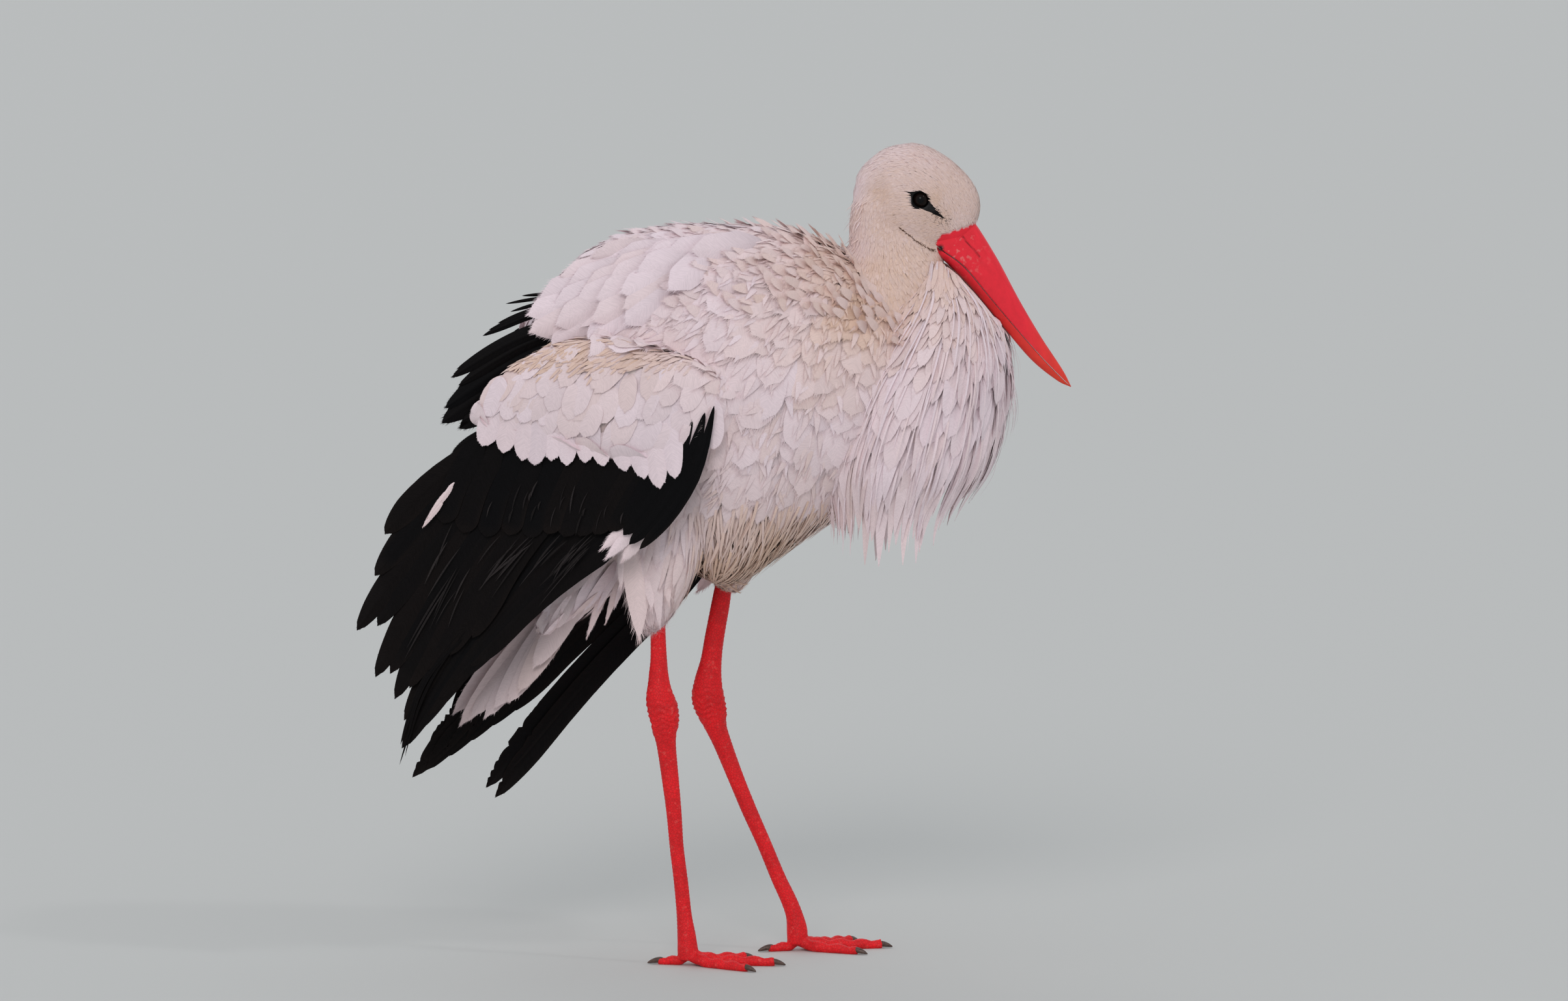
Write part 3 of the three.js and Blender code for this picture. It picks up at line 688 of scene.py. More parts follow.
# Each form: its stations, how deep its coat is, and whether its stations stand upright.
FORMS = {
    "head": (HEAD, 1.6, False), "neck": (NECK, 3.5, False), "trunk": (TRUNK, 10.0, True),
    "rump": (RUMP, 6.0, False),
    "thigh_right": (THIGHS[RIGHT], 6.0, False), "thigh_left": (THIGHS[LEFT], 6.0, False),
    "arm_right": (arm_of(RIGHT), 4.0, False), "arm_left": (arm_of(LEFT), 4.0, False),
}


def body_surface(inset):
    """The body's forms as one surface, each drawn in by its coat's depth where inset is true."""
    meshes = [
        tube_mesh(stations, 40, 48, -depth if inset else 0.0, upright)
        for stations, depth, upright in FORMS.values()
    ]
    return united(meshes, voxel=2.6, smoothing=6)


COAT_SHAPE = body_surface(inset=False)
SKIN_SHAPE = body_surface(inset=True)
COAT = BVHTree.FromPolygons(COAT_SHAPE[0].tolist(), COAT_SHAPE[1])
INNER = BVHTree.FromPolygons(SKIN_SHAPE[0].tolist(), SKIN_SHAPE[1])
DEEPEST = 9.0  # no feather's root lies deeper than this under the coat's surface


def combed(roots, heading, lengths, lift, steps, curl=1.0, deepest=DEEPEST):
    """Blades that lie along the coat: they start on the skin and rise to the coat's outside.

    lift is how far the tip stands, 1 at the coat's surface.
    """
    p, normal = nearest(COAT, roots)
    spine, side, out = [], [], []
    for k in range(steps):
        share = k / (steps - 1)
        heading = unit(heading - normal * dot(heading, normal))
        under, _ = nearest(INNER, p)
        under = p + (under - p) * np.minimum(1, deepest / np.linalg.norm(under - p, axis=1))[:, None]
        spine.append(under + (p - under) * (lift * share**curl)[:, None])
        side.append(np.cross(normal, heading))
        out.append(normal)
        p, normal_there = nearest(COAT, p + heading * (lengths / (steps - 1))[:, None])
        normal = unit(normal * 0.4 + normal_there * 0.6)
    return np.stack(spine, 1), np.stack(side, 1), np.stack(out, 1)


def rolled(blades, angle):
    """Blades turned about their own length."""
    spines, sideways, normals = blades
    cos, sin = (f(angle)[:, None, None] for f in (np.cos, np.sin))
    return spines, sideways * cos + normals * sin, normals * cos - sideways * sin


# ---- Coat on the body -----------------------------------------------------------------------

# Guides are rows of x, z, heading (x, outwards, z), length, half width, how far tips stand, cream.
HEAD_GUIDES = [
    (188, 650, -0.3, 0.1, 1.0, 6.0, 0.45, 1.05, 0.55),
    (180, 668, -0.5, 0.0, 0.9, 7.0, 0.48, 1.05, 0.60),
    (165, 700, -0.85, 0.0, 0.5, 9.0, 0.50, 1.05, 0.50),
    (140, 718, -1.0, 0.0, 0.1, 10.5, 0.55, 1.05, 0.38),
    (115, 712, -0.85, 0.0, -0.5, 11.0, 0.60, 1.05, 0.36),
    (101, 690, -0.45, 0.0, -0.9, 13.0, 0.65, 1.08, 0.25),
    (100, 660, -0.2, 0.0, -1.0, 14.0, 0.70, 1.10, 0.35),
    (125, 680, -0.9, 0.1, -0.5, 10.0, 0.55, 1.00, 0.85),
    (140, 692, -1.0, 0.1, 0.0, 9.0, 0.50, 1.00, 0.60),
    (160, 690, -0.9, 0.0, 0.45, 8.0, 0.46, 1.00, 0.65),
    (172, 670, -0.85, 0.1, 0.55, 6.5, 0.44, 1.00, 0.95),
    (177, 654, -0.9, 0.1, 0.45, 5.0, 0.42, 1.00, 0.90),
    (168, 640, -1.0, 0.15, -0.1, 6.0, 0.45, 1.00, 0.75),
    (165, 628, -0.95, 0.15, -0.35, 7.0, 0.46, 1.00, 0.80),
    (150, 642, -0.95, 0.1, -0.3, 8.0, 0.50, 1.00, 0.60),
    (130, 650, -0.85, 0.1, -0.55, 11.0, 0.55, 1.00, 0.80),
    (145, 625, -0.85, 0.1, -0.5, 10.0, 0.55, 1.05, 0.95),
    (120, 635, -0.6, 0.0, -0.8, 13.0, 0.65, 1.05, 0.80),
]
# Feather tips that stand off the head a little.
TIP_GUIDES = [
    (x, z, ahead, out, up, 1.1 * length, 0.8 * wide, 1.35 * lift, cream)
    for x, z, ahead, out, up, length, wide, lift, cream in HEAD_GUIDES
]
NECK_GUIDES = [
    (98, 640, -0.1, 0.0, -1.0, 15, 0.85, 1.05, 0.45),
    (90, 600, 0.0, 0.0, -1.0, 18, 1.7, 1.05, 0.85),
    (120, 622, 0.15, 0.05, -1.0, 14, 1.1, 1.05, 0.85),
    (150, 615, 0.5, 0.1, -0.85, 13, 1.2, 1.05, 0.80),
    (168, 600, 0.7, 0.1, -0.7, 16, 1.6, 1.1, 0.75),
    (130, 590, 0.25, 0.1, -1.0, 19, 2.0, 1.05, 0.85),
    (92, 565, -0.1, 0.0, -1.0, 22, 2.8, 1.1, 1.20),
]
TRUNK_GUIDES = [
    (120, 600, -0.5, 0.1, -0.85, 19, 4.0, 1.05, 0.95),
    (100, 585, -0.4, 0.1, -0.9, 22, 5.0, 1.05, 1.15),
    (85, 623, -0.75, 0.25, -0.3, 22, 5.5, 1.05, 0.75),
    (40, 650, -0.95, 0.2, 0.1, 30, 8.0, 1.08, 0.25),
    (-20, 652, -1.0, 0.15, 0.05, 34, 9.5, 1.08, 0.12),
    (-75, 648, -1.0, 0.15, 0.0, 38, 11.0, 1.08, 0.10),
    (-125, 630, -1.0, 0.1, -0.1, 46, 17, 1.12, 0.05),
    (-165, 590, -1.0, 0.05, -0.15, 52, 19, 1.10, 0.05),
    (-185, 560, -1.0, 0.0, -0.3, 50, 19, 1.10, 0.05),
    (-120, 560, -1.0, 0.1, -0.12, 54, 19, 1.10, 0.06),
    (-60, 600, -0.85, 0.1, -0.40, 42, 14, 1.12, 0.10),
    (0, 610, -0.75, 0.1, -0.60, 40, 14, 1.12, 0.12),
    (60, 600, -0.55, 0.1, -0.8, 38, 13, 1.12, 0.30),
    (95, 555, -0.25, 0.1, -0.95, 38, 13, 1.10, 0.45),
    (-40, 545, -0.7, 0.0, -0.7, 44, 15, 1.10, 0.20),
    (20, 540, -0.35, 0.0, -0.93, 50, 17, 1.10, 0.12),
    (80, 500, -0.15, 0.0, -1.0, 52, 17, 1.10, 0.10),
    (130, 520, 0.1, 0.0, -1.0, 46, 14, 1.10, 0.12),
    (20, 470, -0.2, 0.0, -1.0, 52, 16, 1.10, 0.10),
    (80, 440, -0.15, 0.0, -1.0, 50, 13, 1.10, 0.18),
    (-40, 450, -0.3, 0.0, -0.95, 46, 11, 1.10, 0.25),
    (0, 415, -0.2, 0.0, -0.98, 50, 4.0, 1.1, 0.35),
    (60, 415, -0.25, 0.0, -0.97, 50, 4.0, 1.1, 0.45),
    # The cream of these low rows is painted shade of the belly's underside.
    (-20, 355, -0.2, 0.0, -0.98, 46, 2.4, 1.5, 0.70),
    (40, 372, -0.2, 0.0, -0.98, 46, 2.4, 1.6, 0.80),
    (110, 410, -0.1, 0.0, -1.0, 46, 3.5, 1.4, 0.50),
    (-80, 400, -0.5, 0.0, -0.86, 42, 7, 1.12, 0.20),
    (-130, 450, -0.8, 0.0, -0.6, 44, 10, 1.12, 0.15),
    (150, 460, 0.0, 0.0, -1.0, 44, 10, 1.10, 0.10),
]
# Narrow lacy tufts lie among the broad feathers.
LACE_GUIDES = [
    (x, z, ahead, out, up, 0.62 * length, 0.22 * wide, lift + 0.06, cream)
    for x, z, ahead, out, up, length, wide, lift, cream in TRUNK_GUIDES
]
# The cream and brown low on the belly are painted shade of its underside.
BELLY_GUIDES = [
    (-110, 400, -0.30, 0.0, -0.95, 44, 1.5, 1.15, 0.20),
    (-50, 400, -0.20, 0.0, -0.97, 48, 1.4, 1.15, 0.30),
    (0, 400, -0.10, 0.0, -1.0, 48, 1.2, 1.2, 0.65),
    (-20, 355, -0.10, 0.0, -1.0, 44, 1.0, 1.4, 1.20),
    (40, 372, -0.15, 0.0, -1.0, 46, 1.0, 1.5, 1.30),
    (60, 410, -0.10, 0.0, -1.0, 48, 1.2, 1.2, 0.75),
    (110, 415, -0.05, 0.0, -1.0, 48, 1.3, 1.3, 0.55),
]
RUFFLE_GUIDES = [
    (85, 623, -0.6, 0.25, 0.5, 19, 4.0, 1.8, 0.70),
    (50, 645, -0.8, 0.2, 0.3, 22, 5.0, 1.6, 0.45),
    (0, 650, -0.9, 0.2, 0.2, 24, 5.0, 1.4, 0.25),
    (-75, 648, -0.95, 0.15, 0.15, 26, 5.5, 1.35, 0.12),
    (-150, 600, -1.0, 0.1, 0.0, 28, 6.0, 1.25, 0.08),
]
THIGH_GUIDES = [
    (-60, 420, -0.25, 0.0, -1.0, 54, 6.0, 1.1, 0.12),
    (-90, 340, -0.05, 0.0, -1.0, 50, 5.5, 1.2, 0.18),
    (-70, 320, 0.05, 0.0, -1.0, 46, 5.0, 1.2, 0.25),
    (0, 400, -0.3, 0.0, -1.0, 46, 3.4, 1.2, 0.50),
    (-14, 330, -0.2, 0.0, -1.0, 34, 2.6, 1.3, 0.60),
]
ARM_GUIDES = [
    (-40, 550, -0.4, 0.0, -0.9, 34, 8, 1.1, 0.30),
    (-120, 550, -0.5, 0.0, -0.85, 34, 8, 1.1, 0.35),
    (-200, 520, -0.6, 0.0, -0.75, 34, 9, 1.1, 0.30),
    (-60, 520, -0.25, 0.0, -0.97, 42, 10, 1.1, 0.15),
    (-140, 520, -0.4, 0.0, -0.9, 42, 10, 1.1, 0.15),
    (-60, 490, -0.15, 0.0, -1.0, 46, 11, 1.1, 0.06),
    (-140, 490, -0.25, 0.0, -0.97, 46, 11, 1.1, 0.06),
    (-210, 495, -0.45, 0.0, -0.88, 40, 10, 1.1, 0.10),
    (-18, 495, -0.05, 0.0, -1.0, 34, 9, 1.1, 0.15),
]
FLUFF_GUIDES = [
    (-40, 556, -0.75, 0.0, -0.6, 18, 1.3, 1.1, 0.45),
    (-100, 560, -0.85, 0.0, -0.5, 22, 1.4, 1.2, 0.80),
    (-160, 548, -0.85, 0.0, -0.5, 24, 1.4, 1.2, 0.85),
    (-205, 520, -0.9, 0.0, -0.45, 22, 1.4, 1.2, 0.70),
]
RUMP_GUIDES = [
    (-70, 430, -0.62, 0.0, -0.78, 46, 8, 1.2, 0.25),
    (-150, 320, -0.62, 0.0, -0.78, 50, 9, 1.2, 0.15),
]


def tinted(cream, rng, count):
    """White to cream, and past 1 towards brown, a stain at the foot of the neck and painted shade low on the
    belly, each a little different.
    """
    cream = np.clip(cream + rng.normal(0, 0.07, count), 0, 1.3)[:, None]
    colour = WHITE + (CREAM - WHITE) * np.minimum(cream, 1)
    colour = colour + (STAIN_AND_BELLY_SHADE - CREAM) * np.maximum(cream - 1, 0) / 0.3
    return colour * rng.normal(1, 0.025, (count, 1))


def roots_on(forms, guides, layers, keep, rng):
    """Roots on the coat of some forms, with the surface's normals and places on the OFBake map."""
    def spacing(points):
        size = guided(guides, points)
        return np.sqrt(size[:, 3] * size[:, 4] * 2 / layers)

    found = []
    for form in forms:
        stations, _, upright = FORMS[form]
        found.append(spread(stations, spacing, rng, upright))
    roots, patches = (np.vstack(part) for part in zip(*found))
    on_coat, normal = nearest(COAT, roots)
    shown = np.linalg.norm(on_coat - roots, axis=1) < 3.0
    if keep:
        shown &= keep(on_coat, normal)
    return on_coat[shown], normal[shown], patches[shown]


def coat_on(name, forms, guides, seed, layers, keep=None, steps=6, wander=0.18, moved=(0, 0),
            uneven=0.05, curl=0.22, roll=0.06, deepest=DEEPEST, **shape):
    """Feathers scattered over some of the body's forms, combed the way the guides say.

    wander, uneven and roll are how much feathers differ in heading, in how far they stand and in
    their turn about their own length.
    """
    rng = np.random.default_rng(seed)
    guides = np.array(guides, float) + np.pad(np.array(moved, float), (0, 7))
    roots, normal, patches = roots_on(forms, guides, layers, keep, rng)
    value = guided(guides, roots)
    count = len(roots)
    outwards = np.sign(roots[:, 1]) * np.minimum(np.abs(roots[:, 1]) / 20, 1)
    heading = unit(np.stack([value[:, 0], value[:, 1] * outwards, value[:, 2]], 1))
    heading = unit(heading - normal * dot(heading, normal))
    angle = rng.normal(0, wander, count)[:, None]
    heading = heading * np.cos(angle) + np.cross(normal, heading) * np.sin(angle)
    lengths = value[:, 3] * rng.uniform(0.82, 1.12, count)
    lift = value[:, 5] * rng.normal(1, uneven, count)
    blades = combed(roots, heading, lengths, lift, steps, curl, deepest)
    blades = rolled(blades, rng.normal(0, roll, count))
    half_width = value[:, 4] * rng.uniform(0.85, 1.15, count)
    tints = tinted(value[:, 6], rng, count)
    return add_vanes(name, blades, half_width, tints, 0.02 + 0.96 * patches, WHITE_VANES, rng, **shape)


# The bare black patch round each eye. Its long axis runs from behind the eye down to the corner of
# the bill. Its outline's rows are degrees round the eye from that axis, and mm from the eye's centre.
PATCH_AXIS = np.array([0.78, 0, -0.63])
PATCH_UP = np.array([0.63, 0, 0.78])
PATCH_OUTLINE = [
    (0, 27.5), (3, 21.0), (12, 11.0), (39, 8.2), (80, 8.0), (129, 8.0), (160, 8.4), (174, 10.8),
    (181, 14.5), (187, 9.8), (205, 8.0), (238, 8.0), (309, 8.3), (335, 10.0), (348, 12.8), (356, 22.0),
    (360, 27.5),
]


def patch_reach(turn):
    """How far the bare patch reaches from the eye's centre, at angles round it in radians."""
    degrees, reach = zip(*PATCH_OUTLINE)
    return np.interp(np.degrees(turn) % 360, degrees, reach)


def in_patch(points, margin=1.0):
    """Whether each point lies over the bare patch of its own side's eye."""
    from_eye = points - EYE * np.array([1, 0, 1])
    a, b = from_eye @ PATCH_AXIS, from_eye @ PATCH_UP
    return (np.hypot(a, b) < patch_reach(np.arctan2(b, a)) * margin) & (np.abs(points[:, 1]) > 8)


# Where the feathers of the face end at the bill, as (z, x) from the throat up to the forehead.
FACE_EDGE = [(600, 166), (622, 169), (636, 170), (641, 174), (645, 188), (649.5, 203), (652, 216)]
GAPE = np.array([172.0, 629.0])
GAPE_RADIUS = 2.2


def off_bare_head(points, normal):
    """Head feathers grow outside the eye patch, off the gape and behind the bill's edge."""
    value = guided(HEAD_GUIDES, points)
    tip = points + unit(value[:, [0, 1, 2]] * [1, 0, 1]) * value[:, 3:4] * 0.8
    heights, edge = zip(*FACE_EDGE)
    behind = points[:, 0] < np.interp(points[:, 2], heights, edge)
    off_gape = np.hypot(points[:, 0] - GAPE[0], points[:, 2] - GAPE[1]) > GAPE_RADIUS
    return ~in_patch(points, 1.02) & ~in_patch(tip, 0.97) & behind & off_gape


FINE = dict(rows=4, columns=3, taper=0.25, point=0.4, sharp=0.2, cup=0.08, fray=0.1)
BROAD = dict(
    rows=11, columns=7, taper=0.3, point=0.5, sharp=0.1, rounded=0.12, cup=0.08, fray=0.045,
    barbs=110, barb_length=0.5, barb_width=0.5, barb_spread=0.2, barbs_from=0.3,
)
SOFT = dict(
    rows=8, columns=7, taper=0.3, point=0.5, sharp=0.2, rounded=0.08, cup=0.10, fray=0.05,
    barbs=90, barb_length=0.8, barb_width=0.45, barb_spread=0.18, barbs_from=0.25,
)
LACE = dict(
    rows=7, columns=3, taper=0.3, point=0.2, sharp=0.8, cup=0.1, fray=0.1,
    barbs=28, barb_length=1.5, barb_width=0.5, barb_spread=0.24, barbs_from=0.3,
)
WISPS = dict(
    rows=8, columns=5, taper=0.3, point=0.3, sharp=0.7, rounded=0.05, cup=0.15, fray=0.1,
    barbs=60, barb_length=2.2, barb_width=0.45, barb_spread=0.14, barbs_from=0.2,
)
THIN_WISPS = WISPS | dict(barbs=14, columns=3)
COVERTS = BROAD | dict(barbs=80, barb_length=0.25)
FLUFF = SOFT | dict(barbs=30, columns=3)

# Where the parts of the coat meet: heights, and the slope of the surface as its normal's z.
NECK_FOOT = 545
BELLY_TOP = 425
BACK_SLOPE = 0.55
FLUFF_FOOT = 536


def on_crown_or_nape(points, normals):
    """Where feather tips stand off the head and the top of the neck."""
    above_or_behind = (normals[:, 2] > 0.4) | (points[:, 0] < 108)
    return off_bare_head(points, normals) & above_or_behind & (points[:, 2] > 640)


def on_neck(points, normals):
    return points[:, 2] > NECK_FOOT


def on_back(points, normals):
    return normals[:, 2] > BACK_SLOPE


def on_crest(points, normals):
    return (normals[:, 2] > 0.35) & (points[:, 0] > -170)


def on_belly(points, normals):
    return (points[:, 2] <= BELLY_TOP) & (normals[:, 2] <= BACK_SLOPE)


def build_flank(side):
    """The broad feathers of one side of the trunk, and the lacy ones among them."""
    def beside(points, normals):
        return (points[:, 2] > BELLY_TOP) & (points[:, 1] * side > 0)

    def on_flank(points, normals):
        return beside(points, normals) & (normals[:, 2] <= BACK_SLOPE)

    name = NAME_OF[side]
    coat_on("coat_side_" + name, ["trunk"], TRUNK_GUIDES, seed=14 + side, layers=8.0, keep=on_flank, **BROAD)
    coat_on("coat_lace_" + name, ["trunk"], LACE_GUIDES, seed=34 + side, layers=3.0, keep=beside,
            wander=0.3, uneven=0.06, **LACE)


def build_arm_coat(side):
    """The small coverts of one wing, and the fluff along its upper edge."""
    name, hang = NAME_OF[side], WING_HANG[side]
    arm = "arm_" + name

    def outside(points, normals):
        off_shoulder = (points[:, 0] - hang[0] < -36) | (points[:, 2] - hang[1] > 500)
        return (normals[:, 1] * side > -0.3) & off_shoulder

    def along_top(points, normals):
        return (normals[:, 1] * side > -0.5) & (points[:, 2] > FLUFF_FOOT + hang[1])

    coverts = coat_on("coat_" + arm, [arm], ARM_GUIDES, seed=20 + side, layers=5.0, keep=outside,
                      moved=hang, **COVERTS)
    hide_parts("wing_" + name + "_coverts")
    coat_on("fluff_" + name, [arm], FLUFF_GUIDES, seed=24 + side, layers=9.0, keep=along_top,
            moved=hang, curl=0.5, wander=0.22, uneven=0.12, **FLUFF)


def build_body_coat():
    close = FINE | dict(wander=0.07, curl=0.45, roll=0.02)
    coat_on("coat_head", ["head"], HEAD_GUIDES, seed=11, layers=11.0, keep=off_bare_head, steps=5,
            uneven=0.06, deepest=0.7, **close)
    coat_on("coat_head_tips", ["head", "neck"], TIP_GUIDES, seed=10, layers=1.2, keep=on_crown_or_nape,
            steps=5, wander=0.2, curl=1.2, uneven=0.4, **FINE)
    coat_on("coat_neck", ["neck"], NECK_GUIDES, seed=12, layers=18.0, keep=on_neck,
            uneven=0.08, deepest=1.6, **close)
    coat_on("coat_back", ["trunk"], TRUNK_GUIDES, seed=13, layers=9.0, keep=on_back,
            curl=0.25, roll=0.05, **BROAD)
    coat_on("coat_ruffle", ["trunk"], RUFFLE_GUIDES, seed=19, layers=2.4, keep=on_crest,
            curl=0.6, wander=0.3, uneven=0.12, roll=0.15, **SOFT)
    build_flank(RIGHT)
    build_flank(LEFT)
    coat_on("coat_belly", ["trunk"], BELLY_GUIDES, seed=16, layers=9.0, keep=on_belly,
            wander=0.14, uneven=0.15, **THIN_WISPS)
    coat_on("coat_thighs", ["thigh_right", "thigh_left"], THIGH_GUIDES, seed=17, layers=9.0,
            wander=0.12, uneven=0.08, **WISPS)
    coat_on("coat_rump", ["rump"], RUMP_GUIDES, seed=18, layers=5.0, wander=0.15, **SOFT)
    build_arm_coat(RIGHT)
    build_arm_coat(LEFT)


# ---- Ruff -----------------------------------------------------------------------------------

RUFF = [
    (172, 0, 604, 26, 32), (172, 0, 574, 52, 56), (160, 0, 530, 77, 80), (147, 0, 480, 86, 91),
    (138, 0, 436, 82, 90), (131, 0, 390, 61, 73), (130, 0, 340, 58, 70),
]
RUFF_HEIGHT = 224
RUFF_SPREAD = math.radians(148)


def ruff_place(turn, z, layer):
    """A place in the ruff at an angle from straight ahead; layer 1 is its outside."""
    line = smooth_line(RUFF, np.linspace(0, 1, 60))[::-1]
    x, ahead, aside = (np.interp(z, line[:, 2], line[:, k]) for k in (0, 3, 4))
    return np.stack([x + layer * ahead * np.cos(turn), layer * aside * np.sin(turn), z], -1)


def plumes(turn, z_root, z_tip, layer_root, layer_tip, steps=12):
    """Blades that leave the neck outwards and then hang down along the outside of the ruff."""
    s = np.linspace(0, 1, steps)[None, :]
    layer = layer_root[:, None] + (layer_tip - layer_root)[:, None] * (1 - (1 - s) ** 2.4)
    z = z_root[:, None] - (z_root - z_tip)[:, None] * s**1.25
    turned = turn[:, None] * (1 + 0.04 * s)
    spine = ruff_place(turned, z, layer)
    under_bill = np.interp(spine[..., 0], *np.array(GONYS).T) - 2.5
    lowered = np.minimum(spine[..., 2], under_bill)
    spine[..., 2] = np.where(spine[..., 0] > GONYS[0][0], lowered, spine[..., 2])
    ahead = unit(np.gradient(spine, axis=1))
    around = np.stack([-np.sin(turned) * np.ones_like(z), np.cos(turned) * np.ones_like(z), 0 * z], -1)
    out = unit(np.cross(around, ahead))
    return spine, np.cross(out, ahead), out


def ruff_patches(turn, z_tip):
    """Places of plumes on the OFBake map: round the neck, and up it."""
    return np.stack([0.5 + turn / 7, (z_tip - 340) / 300], 1)


# How plumes change down the ruff, at shares of the way down: length and half width in mm, cream.
RUFF_SHARES = [0, 0.2, 0.4, 0.6, 0.8, 1.0]
PLUME_LENGTHS = [22, 34, 56, 72, 88, 98]
PLUME_WIDTHS = [1.9, 3.6, 7.5, 10.0, 7.5, 4.6]
PLUME_CREAM = [0.60, 0.40, 0.10, 0.04, 0.06, 0.16]
PLUME_DEPTHS = [0.45, 0.5, 0.62, 0.7, 0.74, 0.76]  # where they leave the neck, as a share of the ruff
FIRST_TIPS, LOWEST_TIPS = 592, 362
POINTS_FROM = 0.74  # below this share, plumes end in long points

PLUME = dict(
    rows=15, columns=7, taper=0.35, cup=0.08, fray=0.01, shaft=0.08,
    barbs=90, barb_length=0.35, barb_width=0.6, barb_spread=0.15, barbs_from=0.25,
)
BROAD_PLUME = PLUME | dict(point=0.66, sharp=0.15, rounded=0.06)
POINTED_PLUME = PLUME | dict(point=0.25, sharp=0.7)
LINING = dict(rows=8, columns=5, taper=0.3, point=0.4, sharp=0.4, cup=0.1, fray=0.0)
STRAND = dict(rows=12, columns=3, taper=0.2, point=0.2, cup=0.2, fray=0.0, root_shade=0.88)


def plume_row(share, rng):
    """One row of plumes: angles, heights of tips, lengths, half widths and the share."""
    wide = np.interp(share, RUFF_SHARES, PLUME_WIDTHS)
    around = 2 * RUFF_SPREAD * (45 + 42 * min(1.0, share * 2.5))
    count = int(around / (2 * wide) * 1.35)
    turn = np.linspace(-RUFF_SPREAD, RUFF_SPREAD, count) + rng.normal(0, 0.06, count)
    ahead = np.cos(turn)
    lowest = LOWEST_TIPS + 38 * np.clip(ahead, 0, 1) ** 2 + 16 * np.clip(-ahead, 0, 1)
    z_tip = FIRST_TIPS + (lowest - FIRST_TIPS) * share**1.1 + rng.normal(0, 3 + 9 * share, count)
    length = np.interp(share, RUFF_SHARES, PLUME_LENGTHS) * rng.uniform(0.85, 1.15, count)
    half_width = wide * rng.uniform(0.75, 1.2, count) * (1 + 0.6 * np.clip(-ahead + 0.2, 0, 1))
    return np.stack([turn, z_tip, length, half_width, np.full(count, share)], 1)


def build_plumes(rng):
    """The outer plumes, in rows from the throat down."""
    rows = []
    share = 0.0
    while share <= 1.0:
        rows.append(plume_row(share, rng))
        step = 0.34 if share < 0.7 else 0.15
        share += step * np.interp(share, RUFF_SHARES, PLUME_LENGTHS) / RUFF_HEIGHT
    turn, z_tip, length, half_width, share = np.vstack(rows).T
    count = len(turn)
    z_root = np.minimum(z_tip + length, 622 - 10 * rng.random(count))
    depth = np.interp(share, RUFF_SHARES, PLUME_DEPTHS) * rng.uniform(0.9, 1.1, count)
    blades = plumes(turn, z_root, z_tip, depth, rng.normal(0.98, 0.010, count))
    blades = rolled(blades, rng.normal(0, 0.07, count))
    cream = np.interp(share, RUFF_SHARES, PLUME_CREAM) + 0.12 * (np.abs(turn) > 1.9)
    patches = ruff_patches(turn, z_tip)
    low = share > POINTS_FROM
    for name, here, shape in (("ruff_plumes", ~low, BROAD_PLUME), ("ruff_points", low, POINTED_PLUME)):
        tints = tinted(cream, rng, count)[here]
        obj = add_vanes(name, [part[here] for part in blades], half_width[here], tints, patches[here],
                        WHITE_VANES, rng, **shape)
        if name == "ruff_plumes":
            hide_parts("ruff")


def build_lining(rng):
    """Broad plumes that close the gaps between the outer ones."""
    count = 420
    turn = rng.uniform(-RUFF_SPREAD, RUFF_SPREAD, count)
    z_tip = 404 + rng.uniform(0, 155, count)
    depth = np.full(count, 0.5)
    blades = plumes(turn, np.minimum(z_tip + 90, 572), z_tip, depth, depth + 0.43)
    add_vanes("ruff_lining", blades, 15.0, tinted(0.1, rng, count), ruff_patches(turn, z_tip),
              WHITE_VANES, rng, **LINING)


def build_strands(rng):
    """Hair-like plumes that stray over the others."""
    count = 300
    turn = rng.uniform(-RUFF_SPREAD, RUFF_SPREAD, count)
    lowest = LOWEST_TIPS + 40 * np.clip(np.cos(turn), 0, 1) ** 2
    z_tip = lowest + rng.uniform(-4, 190, count)
    z_root = np.minimum(z_tip + rng.uniform(50, 95, count), 618)
    blades = plumes(turn, z_root, z_tip, rng.uniform(0.6, 0.8, count), rng.uniform(0.98, 1.09, count))
    add_vanes("ruff_strands", blades, rng.uniform(0.5, 1.4, count), tinted(0.1, rng, count),
              ruff_patches(turn, z_tip), WHITE_VANES, rng, **STRAND)


def build_ruff():
    rng = np.random.default_rng(31)
    build_plumes(rng)
    build_lining(rng)
    build_strands(rng)


# ---- Wings, scapulars and tail --------------------------------------------------------------

